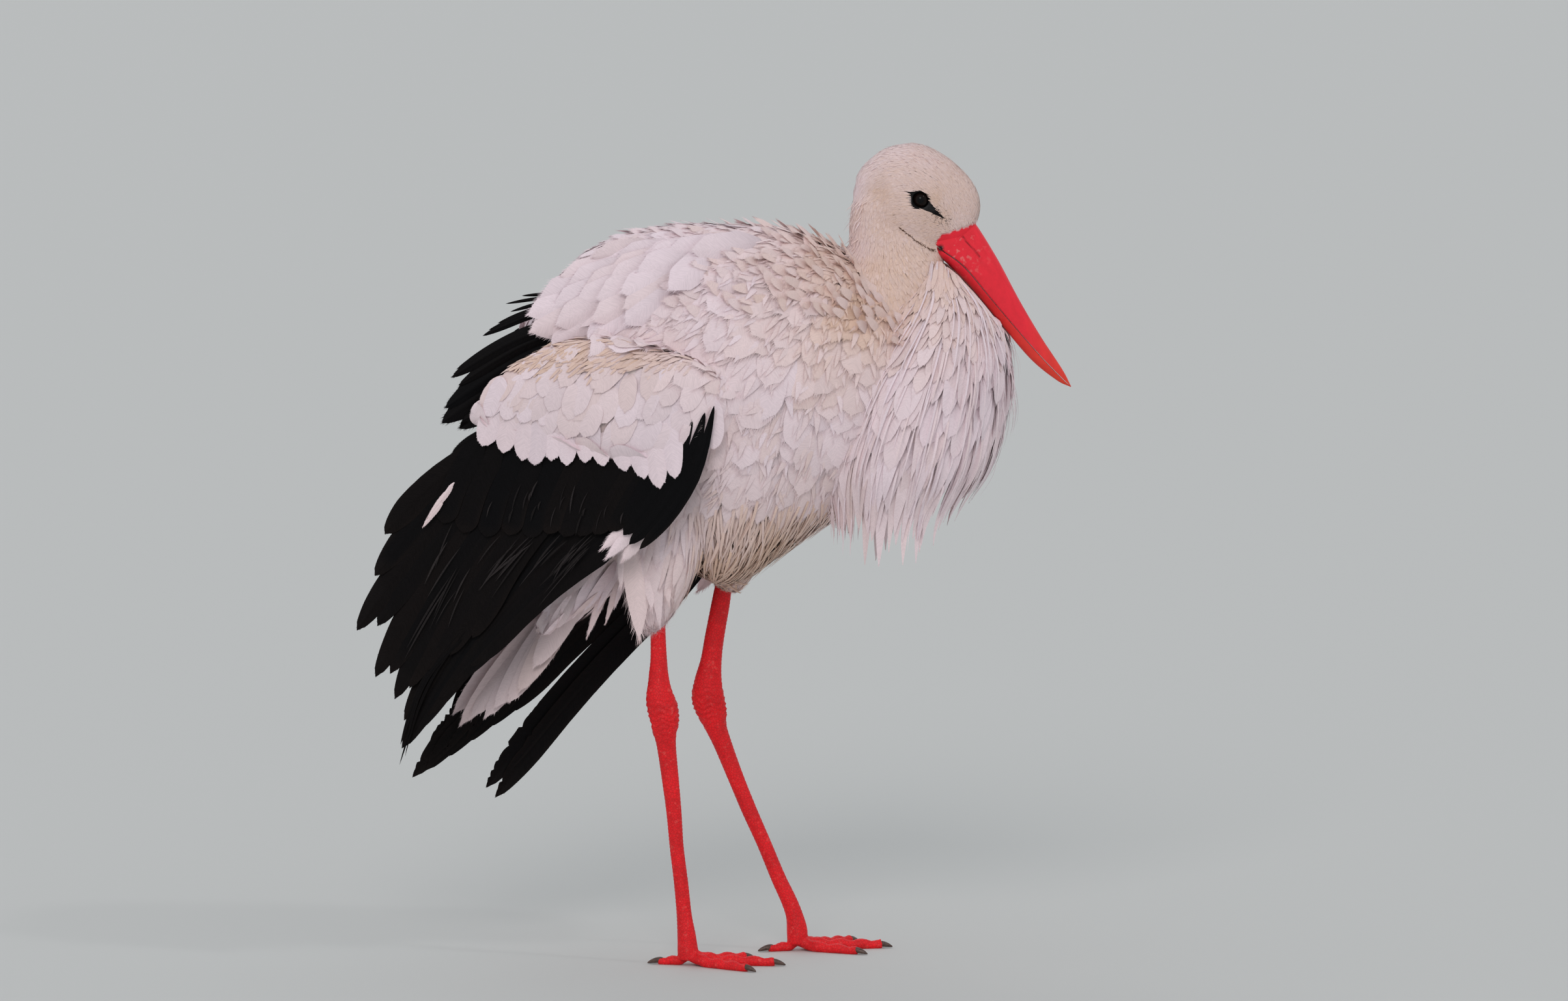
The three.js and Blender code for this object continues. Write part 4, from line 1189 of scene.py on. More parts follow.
# Each row of wing feathers: a line of roots and each feather's tip, as (x, z) on the wing's surface,
# half widths, how far roots and tips stand off that surface, bend, and the vane's shape.
FLIGHT_ROWS = {
    "primaries": dict(
        roots=[(-157, 420), (-130, 402), (-96, 388)],
        tips=[(-297, 217), (-299, 192), (-287, 207), (-276, 222), (-266, 237), (-253, 252), (-238, 266)],
        left_tips=[(-350, 214), (-357, 203), (-346, 209), (-330, 220), (-310, 234), (-292, 247), (-272, 260),
                   (-292, 193), (-284, 184)],
        half_width=11, off=(0.4, 1.2), bend=-8, brown=0.15, point=0.76,
    ),
    "secondaries": dict(
        roots=[(-215, 463), (-190, 446), (-150, 424)],
        tips=[(-313, 381), (-322, 344), (-338, 296), (-320, 300), (-322, 255), (-309, 258), (-305, 236),
              (-292, 246), (-276, 262), (-256, 276), (-236, 292)],
        half_width=11.5, off=(3.0, 4.2), bend=-7, brown=0.2, point=0.72,
    ),
    "strands": dict(
        roots=[(-236, 312), (-246, 290)],
        tips=[(-301, 178), (-300, 196), (-296, 186), (-293, 204)],
        half_width=[1.6, 2.6, 1.2, 2.0], off=(4.6, 4.6), bend=-9, brown=0.1, point=0.4,
    ),
    "greater_coverts": dict(
        roots=[(-227, 466), (-178, 460), (-120, 458), (-70, 460)],
        tips=[(-262, 392), (-244, 384), (-224, 381), (-204, 383), (-186, 381), (-170, 385), (-156, 383),
              (-142, 384), (-129, 386), (-116, 389)],
        half_width=11, off=(6.0, 7.4), bend=-4, brown=0.15, point=0.84,
    ),
    "leading_coverts": dict(
        roots=[(-60, 480), (-44, 488), (-33, 494), (-25, 500)],
        tips=[(-106, 396), (-104, 386), (-99, 378), (-90, 374)],
        half_width=[11, 10, 8, 6], off=(8.4, 9.4), bend=[2, 6, 10, 13], brown=0.0, point=0.72,
    ),
}
MEDIAN_ROWS = [
    dict(
        roots=[(-213, 504), (-134, 505), (-30, 510)],
        tips=[(-227, 462), (-210, 455), (-194, 450), (-181, 446), (-167, 449), (-153, 445), (-138, 448),
              (-120, 447), (-102, 442), (-86, 435), (-72, 427), (-57, 438), (-41, 449), (-28, 461)],
        half_width=[10.6] * 12 + [12, 11], off=(11, 10.5), bend=1.5, cream=0.02,
    ),
    dict(
        roots=[(-210, 522), (-121, 530), (-36, 532)],
        tips=[(-224, 488), (-208, 484), (-192, 482), (-175, 480), (-157, 484), (-138, 482), (-118, 484),
              (-98, 486), (-77, 472), (-57, 482), (-38, 471)],
        half_width=[9.5, 9.5, 10, 10, 10, 10, 11, 12, 13, 12, 13], off=(15.5, 13), bend=1.5, cream=0.06,
    ),
]
# Loose black feathers behind each shoulder: root, tip, half width and how far they arch up.
SCAPULARS = [
    ((-140, 562), (-254, 519), 6.5, 12), ((-140, 558), (-248, 512), 5.5, 11),
    ((-138, 566), (-250, 526), 3.0, 13), ((-135, 548), (-260, 492), 10, 13),
    ((-135, 540), (-263, 479), 12, 12), ((-130, 530), (-244, 481), 12, 9),
    ((-140, 524), (-228, 492), 12, 4), ((-180, 490), (-254, 452), 7, 1),
    ((-135, 578), (-227, 555), 3.4, 8), ((-135, 576), (-222, 560), 2.2, 9),
    ((-135, 580), (-214, 566), 2.2, 7), ((-132, 584), (-207, 583), 1.6, 5),
    ((-132, 587), (-193, 590), 1.6, 3), ((-132, 582), (-203, 576), 1.8, 6),
    ((-150, 556), (-250, 505), 8, 12),
]
SCAPULARS_OUT = {RIGHT: 52, LEFT: 36}
SCAPULARS_MOVED = {RIGHT: (0, 0), LEFT: (12, -14)}
CREAM_STRANDS = [((-142, 556), (-196, 526), 2.2, 6), ((-146, 553), (-192, 530), 1.6, 5)]
# Tips of the tail feathers from the right side to the left, as (x, z).
TAIL_TIPS = [(-184, 262), (-198, 238), (-207, 229), (-219, 222), (-228, 214), (-240, 212), (-250, 206),
             (-256, 214), (-250, 220), (-240, 226), (-228, 236), (-214, 246)]
TAIL_ROOT = (-96, 396)
TAIL_SPREAD = (16, 31)
# White tufts that stand off the body: root, tip, half width, arch, distance from the bird's middle.
TUFTS = [
    # In the notch of the wing's lower edge.
    ((-84, 402), (-122, 374), 6.5, 2, 97), ((-86, 398), (-118, 366), 6.0, 1, 98),
    ((-84, 392), (-104, 364), 6.5, 0, 96),
    # Under the tail.
    ((-108, 372), (-147, 306), 4.2, 1, 18), ((-106, 368), (-137, 288), 4.5, 1, 22),
    ((-100, 362), (-121, 300), 3.5, 1, 26), ((-112, 372), (-156, 318), 4.5, 1, 20),
    ((-104, 360), (-128, 312), 3.5, 0, 28), ((-98, 360), (-113, 314), 3.0, 0, 30),
    # Between the wing and the thigh.
    ((-96, 404), (-107, 338), 8.0, 3, 63), ((-94, 404), (-91, 293), 13.0, 2, 66),
    ((-86, 400), (-80, 318), 8.5, 1, 66), ((-80, 396), (-73, 303), 6.5, 1, 66),
    ((-70, 394), (-65, 322), 6.0, -1, 65),
    # At the rear of the wing.
    ((-253, 424), (-275, 397), 2.6, 1, 63), ((-262, 410), (-279, 389), 2.4, 1, 63),
    ((-251, 428), (-263, 412), 1.8, 1, 63),
]
ON_WING_FROM, WING_REAR = 80, -200  # tufts that stand further out, or lie further back, hang with a wing


def wing_blades(side, root, tip, off, bend, tilt, steps=10):
    """Blades from roots to tips, both (n, 2) places (x, z) on the wing's surface."""
    s = np.linspace(0, 1, steps)[None, :]
    along = tip - root
    across = unit(np.stack([-along[:, 1], along[:, 0]], 1))
    sway = bend[:, None] * np.sin(math.pi * s)
    x, z = (lerp(root[:, None, k], tip[:, None, k], s) + across[:, None, k] * sway for k in (0, 1))
    stand = lerp(off[0][:, None], off[1][:, None], s)
    forward, up = WING_HANG[side]
    spine = np.stack([x + forward, side * (wing_out(x, z) + stand), z + up], -1)
    slope_x = (wing_out(x + 1, z) - wing_out(x - 1, z)) / 2
    slope_z = (wing_out(x, z + 1) - wing_out(x, z - 1)) / 2
    out = unit(np.stack([-slope_x, np.full_like(x, side), -slope_z], -1))
    ahead = unit(np.gradient(spine, axis=1))
    return rolled((spine, unit(np.cross(out, ahead)), out), tilt)


def row_ends(row, side):
    """Roots along the row's line, and the tips."""
    tips = np.array(row["left_tips"] if side == LEFT and "left_tips" in row else row["tips"], float)
    return smooth_line(row["roots"], np.linspace(0, 1, len(tips))), tips


def each(value, count):
    """A value, or one for each of the feathers, as floats."""
    return np.broadcast_to(np.array(value, float), count)


def dark(count, brown, rng):
    """Black, and a share of brown that differs a little."""
    share = np.clip(brown * rng.uniform(0, 2, (count, 1)), 0, 1)
    return BLACK + (BROWN - BLACK) * share


def wing_patches(roots):
    """Places of feathers on the OFBake map, from their roots' (x, z)."""
    return np.stack([(roots[:, 0] + 380) / 420, (roots[:, 1] - 260) / 360], 1)


FLIGHT = dict(
    rows=44, columns=13, taper=0.2, sharp=0.35, rounded=0.03, cup=0.10, fray=0.006,
    shaft=0.5, barbs=80, barb_length=0.12, barb_width=0.6, barb_spread=0.3, barbs_from=0.4,
)
FRONT_FLIGHT = dict(foot=0.03, taper=0.45)
NOTCHED_FLIGHT = dict(notched=0.6, rows=120, columns=9)
MEDIAN = dict(
    rows=16, columns=15, taper=0.3, point=0.55, sharp=0.1, rounded=0.06, cup=0.2, fray=0.015, shaft=0.25,
    barbs=130, barb_length=0.14, barb_width=0.8, barb_spread=0.3, barbs_from=0.4,
)


def build_flight_row(side, name, row, order):
    """One row of black feathers on a wing, each a little further out than the one before."""
    rng = np.random.default_rng(50 + order * 2 + side)
    roots, tips = row_ends(row, side)
    count = len(tips)
    step = np.linspace(0, 1.6, count)
    blades = wing_blades(
        side, roots, tips, [each(value, count) + step for value in row["off"]],
        each(row["bend"], count) * rng.uniform(0.85, 1.15, count), each(-0.06 * side, count),
    )
    shape = FLIGHT | dict(point=row["point"], worn=WORN)
    if name == "leading_coverts":
        shape |= FRONT_FLIGHT
    if name == "primaries" and side == LEFT:
        shape |= NOTCHED_FLIGHT
    vanes = add_vanes(f"vanes_{NAME_OF[side]}_{name}", blades, each(row["half_width"], count),
                      dark(count, row["brown"], rng), wing_patches(roots), BLACK_VANES, rng, **shape)
    node = f"wing_{NAME_OF[side]}_{name}"
    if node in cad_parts:
        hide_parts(node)


def build_median_row(side, row, order):
    """One row of white coverts on a wing."""
    rng = np.random.default_rng(70 + order * 2 + side)
    roots, tips = row_ends(row, side)
    count = len(tips)
    jitter = rng.uniform(0, 1.6, count)
    near_front = np.clip((-30 - roots[:, 0]) / 30, 0.3, 1)
    tips = tips + rng.normal(0, 1.2, (count, 2))
    off = [each(value, count) * near_front + jitter for value in row["off"]]
    bend = rng.normal(0, row["bend"], count)
    blades = wing_blades(side, roots, tips, off, bend, rng.normal(0, 0.05, count))
    half_width = each(row["half_width"], count) * rng.uniform(0.92, 1.1, count)
    add_vanes(f"wing_{NAME_OF[side]}_median_{order}", blades, half_width, tinted(row["cream"], rng, count),
              wing_patches(roots), WHITE_VANES, rng, **MEDIAN)


def build_wing(side):
    for order, (name, row) in enumerate(FLIGHT_ROWS.items()):
        if side == RIGHT or name != "strands":
            build_flight_row(side, name, row, order)
    build_sheen_streaks(side)
    for order, row in enumerate(MEDIAN_ROWS):
        build_median_row(side, row, order)


# Painted sheen: thin grey vanes stand for light caught in three bands of the black feathers: where they
# lie, which way they run and how long they are.
SHEEN_STREAKS = [
    dict(count=24, x=(-215, -125), z=(386, 372), run=(-0.66, -0.75), length=(26, 72), off=8.4),
    dict(count=18, x=(-235, -100), z=(432, 405), run=(-0.30, -0.95), length=(8, 26), off=10.2),
    dict(count=10, x=(-262, -235), z=(400, 330), run=(-0.45, -0.9), length=(30, 80), off=8.2),
]
SHEEN_STREAK_SHAPE = dict(rows=8, columns=3, taper=0.5, point=0.4, sharp=0.6, foot=0.0, fray=0.0)


def build_sheen_streaks(side):
    rng = np.random.default_rng(130 + side)
    for order, band in enumerate(SHEEN_STREAKS):
        count = band["count"]
        roots = np.stack([rng.uniform(*band["x"], count), rng.uniform(*band["z"][::-1], count)], 1)
        length = rng.uniform(*band["length"], (count, 1))
        tips = roots + unit(np.array(band["run"]) + rng.normal(0, 0.06, (count, 2))) * length
        off = np.full(count, band["off"])
        blades = wing_blades(side, roots, tips, [off, off], np.full(count, -1.0), off * 0)
        # Painted sheen: grey that stands for light caught on the black feathers.
        tints = SHEEN_STREAK * rng.uniform(0.4, 1.2, (count, 1))
        add_vanes(f"sheen_streaks_{NAME_OF[side]}_{order}", blades, rng.uniform(0.4, 1.0, count), tints,
                  wing_patches(roots), BLACK_VANES, rng, **SHEEN_STREAK_SHAPE)


# Big rounded white feathers over each shoulder lie in rows like tiles. The rearmost row's tips follow
# this line, as (x, z, 0), and every feather points away from the shoulder.
SCAPULAR_EDGE = [
    (-134, 541, 0), (-170, 549, 0), (-189, 565, 0), (-182, 583, 0), (-163, 603, 0), (-132, 621, 0),
]
SCAPULAR_SHOULDER = np.array([-24.0, 632.0, 0.0])
SCAPULAR_ROWS = [7, 6, 6, 5, 4]
SCAPULAR_STEP, SCAPULAR_LENGTH = 22, 62
SCAPULAR_SHAPE = dict(
    rows=14, columns=11, taper=0.3, point=0.6, rounded=0.22, cup=0.25, fray=0.03, shaft=0.25,
    barbs=120, barb_length=0.3, barb_width=0.7, barb_spread=0.25, barbs_from=0.3, root_shade=0.82,
)


def scapular_places(rng):
    """Roots and tips as (x, z), and how far each white scapular stands off those under it."""
    roots, tips, stand = [], [], []
    for row, count in enumerate(SCAPULAR_ROWS):
        share = np.clip((np.arange(count) + 0.5 * (row % 2)) / (count - 1), 0, 1)
        edge = smooth_line(SCAPULAR_EDGE, share) + rng.normal(0, 1.5, (count, 3))
        inwards = unit(SCAPULAR_SHOULDER - edge)
        tip = edge + inwards * SCAPULAR_STEP * row
        tips.append(tip[:, :2])
        roots.append((tip + inwards * SCAPULAR_LENGTH)[:, :2])
        stand.append(2.6 * row + 1.6 * (np.arange(count) % 2) + 0.3 * np.arange(count))
    return np.vstack(roots), np.vstack(tips), np.concatenate(stand)


def build_white_scapulars(side):
    rng = np.random.default_rng(110 + side)
    starts, ends, stand = scapular_places(rng)
    count, steps = len(starts), 9
    s = np.linspace(0, 1, steps)[None, :]
    flat = lerp(starts[:, None], ends[:, None], s[..., None]) + np.array(SCAPULARS_MOVED[side]) * 0.7
    ground = np.array([[coat_at(x, z, side) for x, z in row] for row in flat])
    tip_out = np.interp(ends[:, 1], (560, 615), (58, 40))[:, None]
    out = np.maximum(ground, lerp(ground[:, :1], tip_out, s)) - 2.0 + (4.0 + stand[:, None]) * s**0.6
    spines = np.stack([flat[..., 0], side * out, flat[..., 1]], -1)
    ahead = unit(np.gradient(spines, axis=1))
    facing = np.array([0.0, side, 0.25])
    normals = unit(facing - ahead * dot(facing, ahead))
    blades = rolled((spines, np.cross(normals, ahead), normals), rng.normal(0, 0.08, count))
    patches = np.stack([(starts[:, 0] + 200) / 400, (starts[:, 1] - 340) / 400], 1)
    add_vanes("white_scapulars_" + NAME_OF[side], blades, rng.uniform(12.5, 15.5, count),
              tinted(0.04, rng, count), patches, WHITE_VANES, rng, **SCAPULAR_SHAPE)


def arched(side, rows, moved=(0, 0)):
    """Blades that arch up and then droop, at one distance from the middle of the bird.

    rows are root, tip, half width and arch. Gives blades, half widths and places on the OFBake map.
    """
    starts, ends, wide, arch = (np.array(column, float) for column in zip(*rows))
    count, steps = len(rows), 14
    s = np.linspace(0, 1, steps)[None, :]
    flat = lerp(starts[:, None], ends[:, None], s[..., None]) + np.array(moved)
    rise = arch[:, None] * np.sin(math.pi * s**0.8)
    out = SCAPULARS_OUT[side] + np.linspace(3.5, -3.5, count)[:, None] + 0 * s
    spine = np.stack([flat[..., 0], side * out, flat[..., 1] + rise], -1)
    normals = np.broadcast_to([0.0, side, 0.0], spine.shape)
    sideways = np.cross(normals, unit(np.gradient(spine, axis=1)))
    return (spine, sideways, normals), wide, wing_patches(starts * [1, 0.9])


LOOSE_FLIGHT = FLIGHT | dict(
    rows=30, columns=11, taper=0.25, point=0.7, sharp=0.5, cup=0.15, fray=0.01,
    barbs=110, barb_length=0.3, barb_spread=0.25, barbs_from=0.3,
)


def build_scapulars(side):
    """Loose black feathers behind a shoulder, and the few cream strands over them."""
    rng = np.random.default_rng(90 + side)
    blades, wide, patches = arched(side, SCAPULARS, SCAPULARS_MOVED[side])
    obj = add_vanes("loose_black_" + NAME_OF[side], blades, wide, dark(len(wide), 0.1, rng), patches,
                    BLACK_VANES, rng, **LOOSE_FLIGHT)
    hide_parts("scapulars_" + NAME_OF[side])
    (spine, sideways, normals), wide, patches = arched(side, CREAM_STRANDS, SCAPULARS_MOVED[side])
    blades = (spine + np.array([0, side * 6.0, 0]), sideways, normals)
    add_vanes("loose_cream_" + NAME_OF[side], blades, wide, tinted(0.8, rng, len(wide)), patches,
              WHITE_VANES, rng, **LOOSE_FLIGHT)


TAIL_SHAPE = dict(
    rows=18, columns=9, taper=0.2, point=0.72, sharp=0.3, rounded=0.04, cup=0.12, fray=0.01, shaft=0.4,
    barbs=90, barb_length=0.3, barb_width=0.8, barb_spread=0.25, barbs_from=0.3, root_shade=0.88,
)


def build_tail():
    rng = np.random.default_rng(97)
    count, steps = len(TAIL_TIPS), 10
    share = np.linspace(-1, 1, count)
    s = np.linspace(0, 1, steps)[None, :]
    tips = np.array(TAIL_TIPS, float)
    flat = lerp(np.array(TAIL_ROOT, float), tips[:, None], s[..., None])
    y = share[:, None] * lerp(*TAIL_SPREAD, s)
    droop = 4 * np.sin(math.pi * s) + 1.5 * (np.arange(count) % 2)[:, None]
    spine = np.stack([flat[..., 0], y, flat[..., 1] + droop], -1)
    ahead = unit(np.gradient(spine, axis=1))
    facing = np.where(np.abs(y) < 1, 1.0, np.sign(y)) * 1.3 + 0 * s
    out = np.stack([ahead[..., 2] * 0.6, facing, -ahead[..., 0] * 0.6], -1)
    out = unit(out - ahead * dot(out, ahead))
    patches = np.stack([0.5 + share * 0.4, 0.5 + 0 * share], 1)
    # Painted shade: the tail's feathers are drawn darker and creamier than the body's.
    obj = add_vanes("tail_feathers", (spine, np.cross(out, ahead), out), 12.0,
                    TAIL_PAINTED_SHADE * tinted(0.28, rng, count), patches, WHITE_VANES, rng, **TAIL_SHAPE)
    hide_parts("tail")


TUFT_SHAPE = dict(
    rows=22, columns=9, taper=0.3, point=0.35, sharp=0.6, cup=0.25, fray=0.01, shaft=0.3,
    barbs=170, barb_length=0.8, barb_width=0.7, barb_spread=0.15, barbs_from=0.2,
)


def build_tufts(side):
    rng = np.random.default_rng(140 + side)
    (spine, sideways, normals), wide, patches = arched(side, [row[:4] for row in TUFTS])
    out = np.array([row[4] for row in TUFTS], float)
    roots = np.array([row[0] for row in TUFTS], float)
    on_wing = ((out > ON_WING_FROM) | (roots[:, 0] < WING_REAR))[:, None]
    forward, up = WING_HANG[side]
    spine[..., 0] += forward * on_wing
    spine[..., 2] += up * on_wing
    spine[..., 1] = side * out[:, None]
    add_vanes("tufts_" + NAME_OF[side], (spine, sideways, normals), wide, tinted(0.22, rng, len(wide)),
              patches, WHITE_VANES, rng, **TUFT_SHAPE)


# ---- Skin: the body under its coat, the eyelids and the legs --------------------------------

# Stations of the bare legs from the feathers down to the floor: x, z, half size fore and aft, and
# half width. The first rows are hidden in the feathers.
LEGS = {
    RIGHT: dict(y=-42, toe_turn=4, stations=[
        (-78, 392, 9.0, 8.0), (-75, 330, 6.4, 6.0), (-74.8, 300, 6.3, 6.0), (-74.2, 272, 7.0, 6.2),
        (-74.0, 254, 8.6, 6.8), (-73.4, 240, 11.4, 8.2), (-71.0, 228, 13.4, 9.3), (-69.0, 217, 12.6, 9.4),
        (-69.0, 208, 11.0, 8.8), (-68.2, 200, 9.0, 7.4), (-67.0, 189, 8.0, 6.2), (-64.2, 165, 7.3, 5.4),
        (-61.0, 135, 6.5, 5.0), (-58.6, 104, 6.0, 4.9), (-55.0, 74, 6.1, 5.1), (-52.1, 44, 6.5, 5.6),
        (-50.0, 25, 8.2, 7.4), (-49.0, 12, 9.0, 8.4), (-49.0, 5, 8.0, 8.0),
    ]),
    LEFT: dict(y=42, toe_turn=10, stations=[
        (-6, 392, 9.0, 8.0), (-16, 338, 7.4, 6.2), (-20.5, 310, 8.0, 6.2), (-26.0, 280, 8.4, 6.3),
        (-29.0, 259, 9.2, 6.8), (-31.6, 241, 12.0, 8.2), (-31.8, 226, 14.4, 9.3), (-28.0, 212, 13.0, 9.4),
        (-24.8, 200, 9.6, 8.2), (-19.4, 186, 8.0, 6.6), (-7.8, 156, 6.9, 5.4), (4.4, 126, 6.6, 5.0),
        (17.6, 96, 6.2, 4.9), (30.4, 65, 6.4, 5.2), (39.2, 46, 6.8, 5.8), (44.4, 32, 7.4, 6.6),
        (47.0, 18, 9.2, 8.4), (47.0, 6, 8.4, 8.2),
    ]),
}
HEEL_HEIGHT = {RIGHT: 222, LEFT: 220}
# Each knuckle at the heel: heights over the heel's middle and half sizes.
KNUCKLE = [(10, 1.5), (5, 7.5), (-3, 8.8), (-10, 6.5), (-14, 1.5)]
KNUCKLE_ASIDE, KNUCKLE_AHEAD = 4.2, 1
# The tendon: how far behind the leg's middle, height over the heel's middle and half size.
TENDON = [(-2.0, 66, 1.5), (-4.5, 44, 3.0), (-6.5, 28, 3.1), (-9.5, 14, 3.2), (-10.2, 3, 3.2),
          (-7.0, -10, 3.0), (-3.0, -28, 1.5)]
FOLD_DEPTH, SCALE_DEPTH, TOE_SCALE_DEPTH = 0.50, 0.34, 0.30
FOLD_PITCH, FINE_FOLD_PITCH, SCALE_PITCH, TOE_SCALE_PITCH = 5.2, 3.1, 3.4, 3.2
# Toes: turn from straight ahead in degrees, length and half size.
TOES = {"inner": (-34, 58, 5.0), "middle": (0, 76, 5.4), "outer": (32, 64, 5.0), "hind": (186, 26, 4.4)}
TOE_JOINTS = {"inner": 3, "middle": 4, "outer": 4, "hind": 2}
WEB_REACH = 20


def ankle(side):
    """Where the toes meet, as x, y."""
    return LEGS[side]["stations"][-1][0], LEGS[side]["y"]


def toe_line(side, toe, reach):
    """A place on the floor under a toe, a distance from the ankle."""
    turn, _, _ = TOES[toe]
    angle = math.radians(side * (LEGS[side]["toe_turn"] + turn))
    x, y = ankle(side)
    return np.array([x + math.cos(angle) * reach, y + math.sin(angle) * reach, 0.0])


def toe_mesh(side, toe):
    """A toe as knuckles and pads along the floor."""
    _, length, radius = TOES[toe]
    joints = TOE_JOINTS[toe]
    stations = []
    for k in range(joints * 4 + 1):
        share = k / (joints * 4)
        swell = 0.5 + 0.5 * math.cos(2 * math.pi * (share * joints - 0.06))
        size = radius * (1.12 - 0.36 * share) * (0.86 + 0.16 * swell)
        arch = 5.5 * max(0.0, 1 - share * 3.2) + 0.8 * swell
        place = toe_line(side, toe, length * share)
        stations.append((place[0], place[1], size * 0.74 + arch, size, size * 1.02))
    return tube_mesh(stations, joints * 12, 16)


def web_mesh(side, first, second):
    """The small web between the roots of two toes."""
    a, b = toe_line(side, first, WEB_REACH), toe_line(side, second, WEB_REACH)
    root = toe_line(side, first, 2)
    middle = (a + b) / 2
    ends = [root + [0, 0, 6], (root + middle) / 2 + [0, 0, 4.6], middle * 0.93 + root * 0.07 + [0, 0, 2.6]]
    wide = [5, np.linalg.norm(a - b) * 0.30, np.linalg.norm(a - b) * 0.36]
    return tube_mesh([(*p, 2.4, w) for p, w in zip(ends, wide)], 14, 14)


def leg_relief(points, side):
    """How far wrinkles and scales push the skin of a leg out, in mm."""
    x, y, z = points.T
    heel = HEEL_HEIGHT[side]
    near_heel = np.exp(-(((z - heel) / 17) ** 2))
    wander = 1.6 * np.sin(x * 0.45 + z * 0.11) + 1.1 * np.sin(y * 0.6 + z * 0.23)
    folds = np.sin((z + wander) * 2 * math.pi / FOLD_PITCH)
    folds = folds + 0.6 * np.sin((z * 1.07 - wander) * 2 * math.pi / FINE_FOLD_PITCH)
    bare = np.clip((z - 20) / 15, 0, 1) * np.clip((330 - z) / 20, 0, 1)
    scutes = np.abs(np.sin((z + 0.8 * np.sin(x * 0.9)) * math.pi / SCALE_PITCH)) ** 0.5
    toes = np.clip((20 - z) / 12, 0, 1)
    ankle_x, ankle_y = ankle(side)
    from_ankle = np.hypot(x - ankle_x, y - ankle_y)
    bands = np.abs(np.sin(from_ankle * math.pi / TOE_SCALE_PITCH)) ** 0.5
    on_leg = SCALE_DEPTH * bare * scutes * (1 - near_heel)
    return FOLD_DEPTH * near_heel * folds + on_leg + TOE_SCALE_DEPTH * toes * bands


def surface_normals(points, faces):
    """Normals at each vertex of a mesh of quads."""
    quads = np.array([f[:4] for f in faces if len(f) >= 4])
    across = np.cross(points[quads[:, 2]] - points[quads[:, 0]], points[quads[:, 3]] - points[quads[:, 1]])
    total = np.zeros_like(points)
    for corner in range(4):
        np.add.at(total, quads[:, corner], across)
    return unit(total)


def leg_skin(side):
    """A leg from inside its feathers to its toes, as points and faces."""
    y, stations, heel = LEGS[side]["y"], LEGS[side]["stations"], HEEL_HEIGHT[side]
    middles, heights, _, _ = zip(*stations[::-1])
    parts = [tube_mesh([(x, y, z, fore, wide) for x, z, fore, wide in stations], 110, 28)]
    # Two knuckles stand out on each side of the heel, and a tendon runs down behind it.
    x_heel = np.interp(heel, heights, middles)
    for aside in (-KNUCKLE_ASIDE, KNUCKLE_ASIDE):
        knuckle = [(x_heel + KNUCKLE_AHEAD, y + aside, heel + dz, up, up * 0.62) for dz, up in KNUCKLE]
        parts.append(tube_mesh(knuckle, 20, 20))
    tendon = [
        (np.interp(heel + dz, heights, middles) + dx, y, heel + dz, size, size) for dx, dz, size in TENDON
    ]
    parts.append(tube_mesh(tendon, 40, 14))
    parts += [toe_mesh(side, toe) for toe in TOES]
    parts += [web_mesh(side, "inner", "middle"), web_mesh(side, "middle", "outer")]
    points, faces = united(parts, voxel=1.1, smoothing=3)
    points = points + surface_normals(points, faces) * leg_relief(points, side)[:, None]
    points[:, 2] = np.maximum(points[:, 2], 0)
    return points, faces


def coat_at(x, z, side):
    """How far one side of the coat stands from the middle of the bird at (x, z)."""
    hit = COAT.ray_cast(Vector((x, side * 200, z)), Vector((0, -side, 0)))[0]
    return abs(hit[1]) if hit else 0.0


LID_ROUNDS = 96
LID_STEPS = 16
LID_RIM = 4.7  # how far the lids' rim stands out from the eye's centre
LID_CREST = 7.5  # how far the rim lies from the eye's axis
EYE_OPENING = 6.9
SOCKET_DEPTH = 19.0
FACE_FOOT = 640  # under this height nothing belongs to the face


def lid_skin(side):
    """Bare black skin from the eyeball's surface, over the rim of the lids, to the feathers."""
    turn = np.linspace(0, 2 * math.pi, LID_ROUNDS, endpoint=False)
    edge = patch_reach(turn) + 1.6
    # The opening is an oval that lies along the patch.
    opening = EYE_OPENING * (1 + 0.05 * np.cos(2 * turn))
    rim = EYE[1] + LID_RIM
    inner = EYE_OPENING * 0.95
    points = []
    for step in range(LID_STEPS):
        share = step / (LID_STEPS - 1)
        for angle, r in zip(turn, lerp(opening, edge, share**1.4)):
            place = EYE + PATCH_AXIS * r * math.cos(angle) + PATCH_UP * r * math.sin(angle)
            if r < LID_CREST:
                ball = EYE[1] + math.sqrt(max(EYE_BALL**2 - r * r, 0.0))
                out = lerp(ball - 0.2, rim, np.clip((r - inner) / (LID_CREST - inner), 0, 1) ** 0.5)
            else:
                coat = coat_at(place[0], place[2], side) - 0.9
                out = lerp(rim, coat, 1 - math.exp(-((r - LID_CREST) / 2.2)))
            fold = 0.22 * math.sin(r * 5.5 + 1.2 * math.sin(angle * 3)) * (r > LID_CREST)
            points.append((place[0], side * (out + fold), place[2]))
    faces = [tuple(f) for f in grid_faces(LID_STEPS, LID_ROUNDS, closed=True)]
    return np.array(points), (faces if side == RIGHT else [f[::-1] for f in faces])


def with_sockets(points):
    """The body's skin drawn in behind the eyes and their bare patches."""
    points = points.copy()
    over_eye = in_patch(points, 0.98) & (points[:, 2] > FACE_FOOT)
    y = points[over_eye, 1]
    points[over_eye, 1] = np.sign(y) * np.minimum(np.abs(y), SOCKET_DEPTH)
    return points


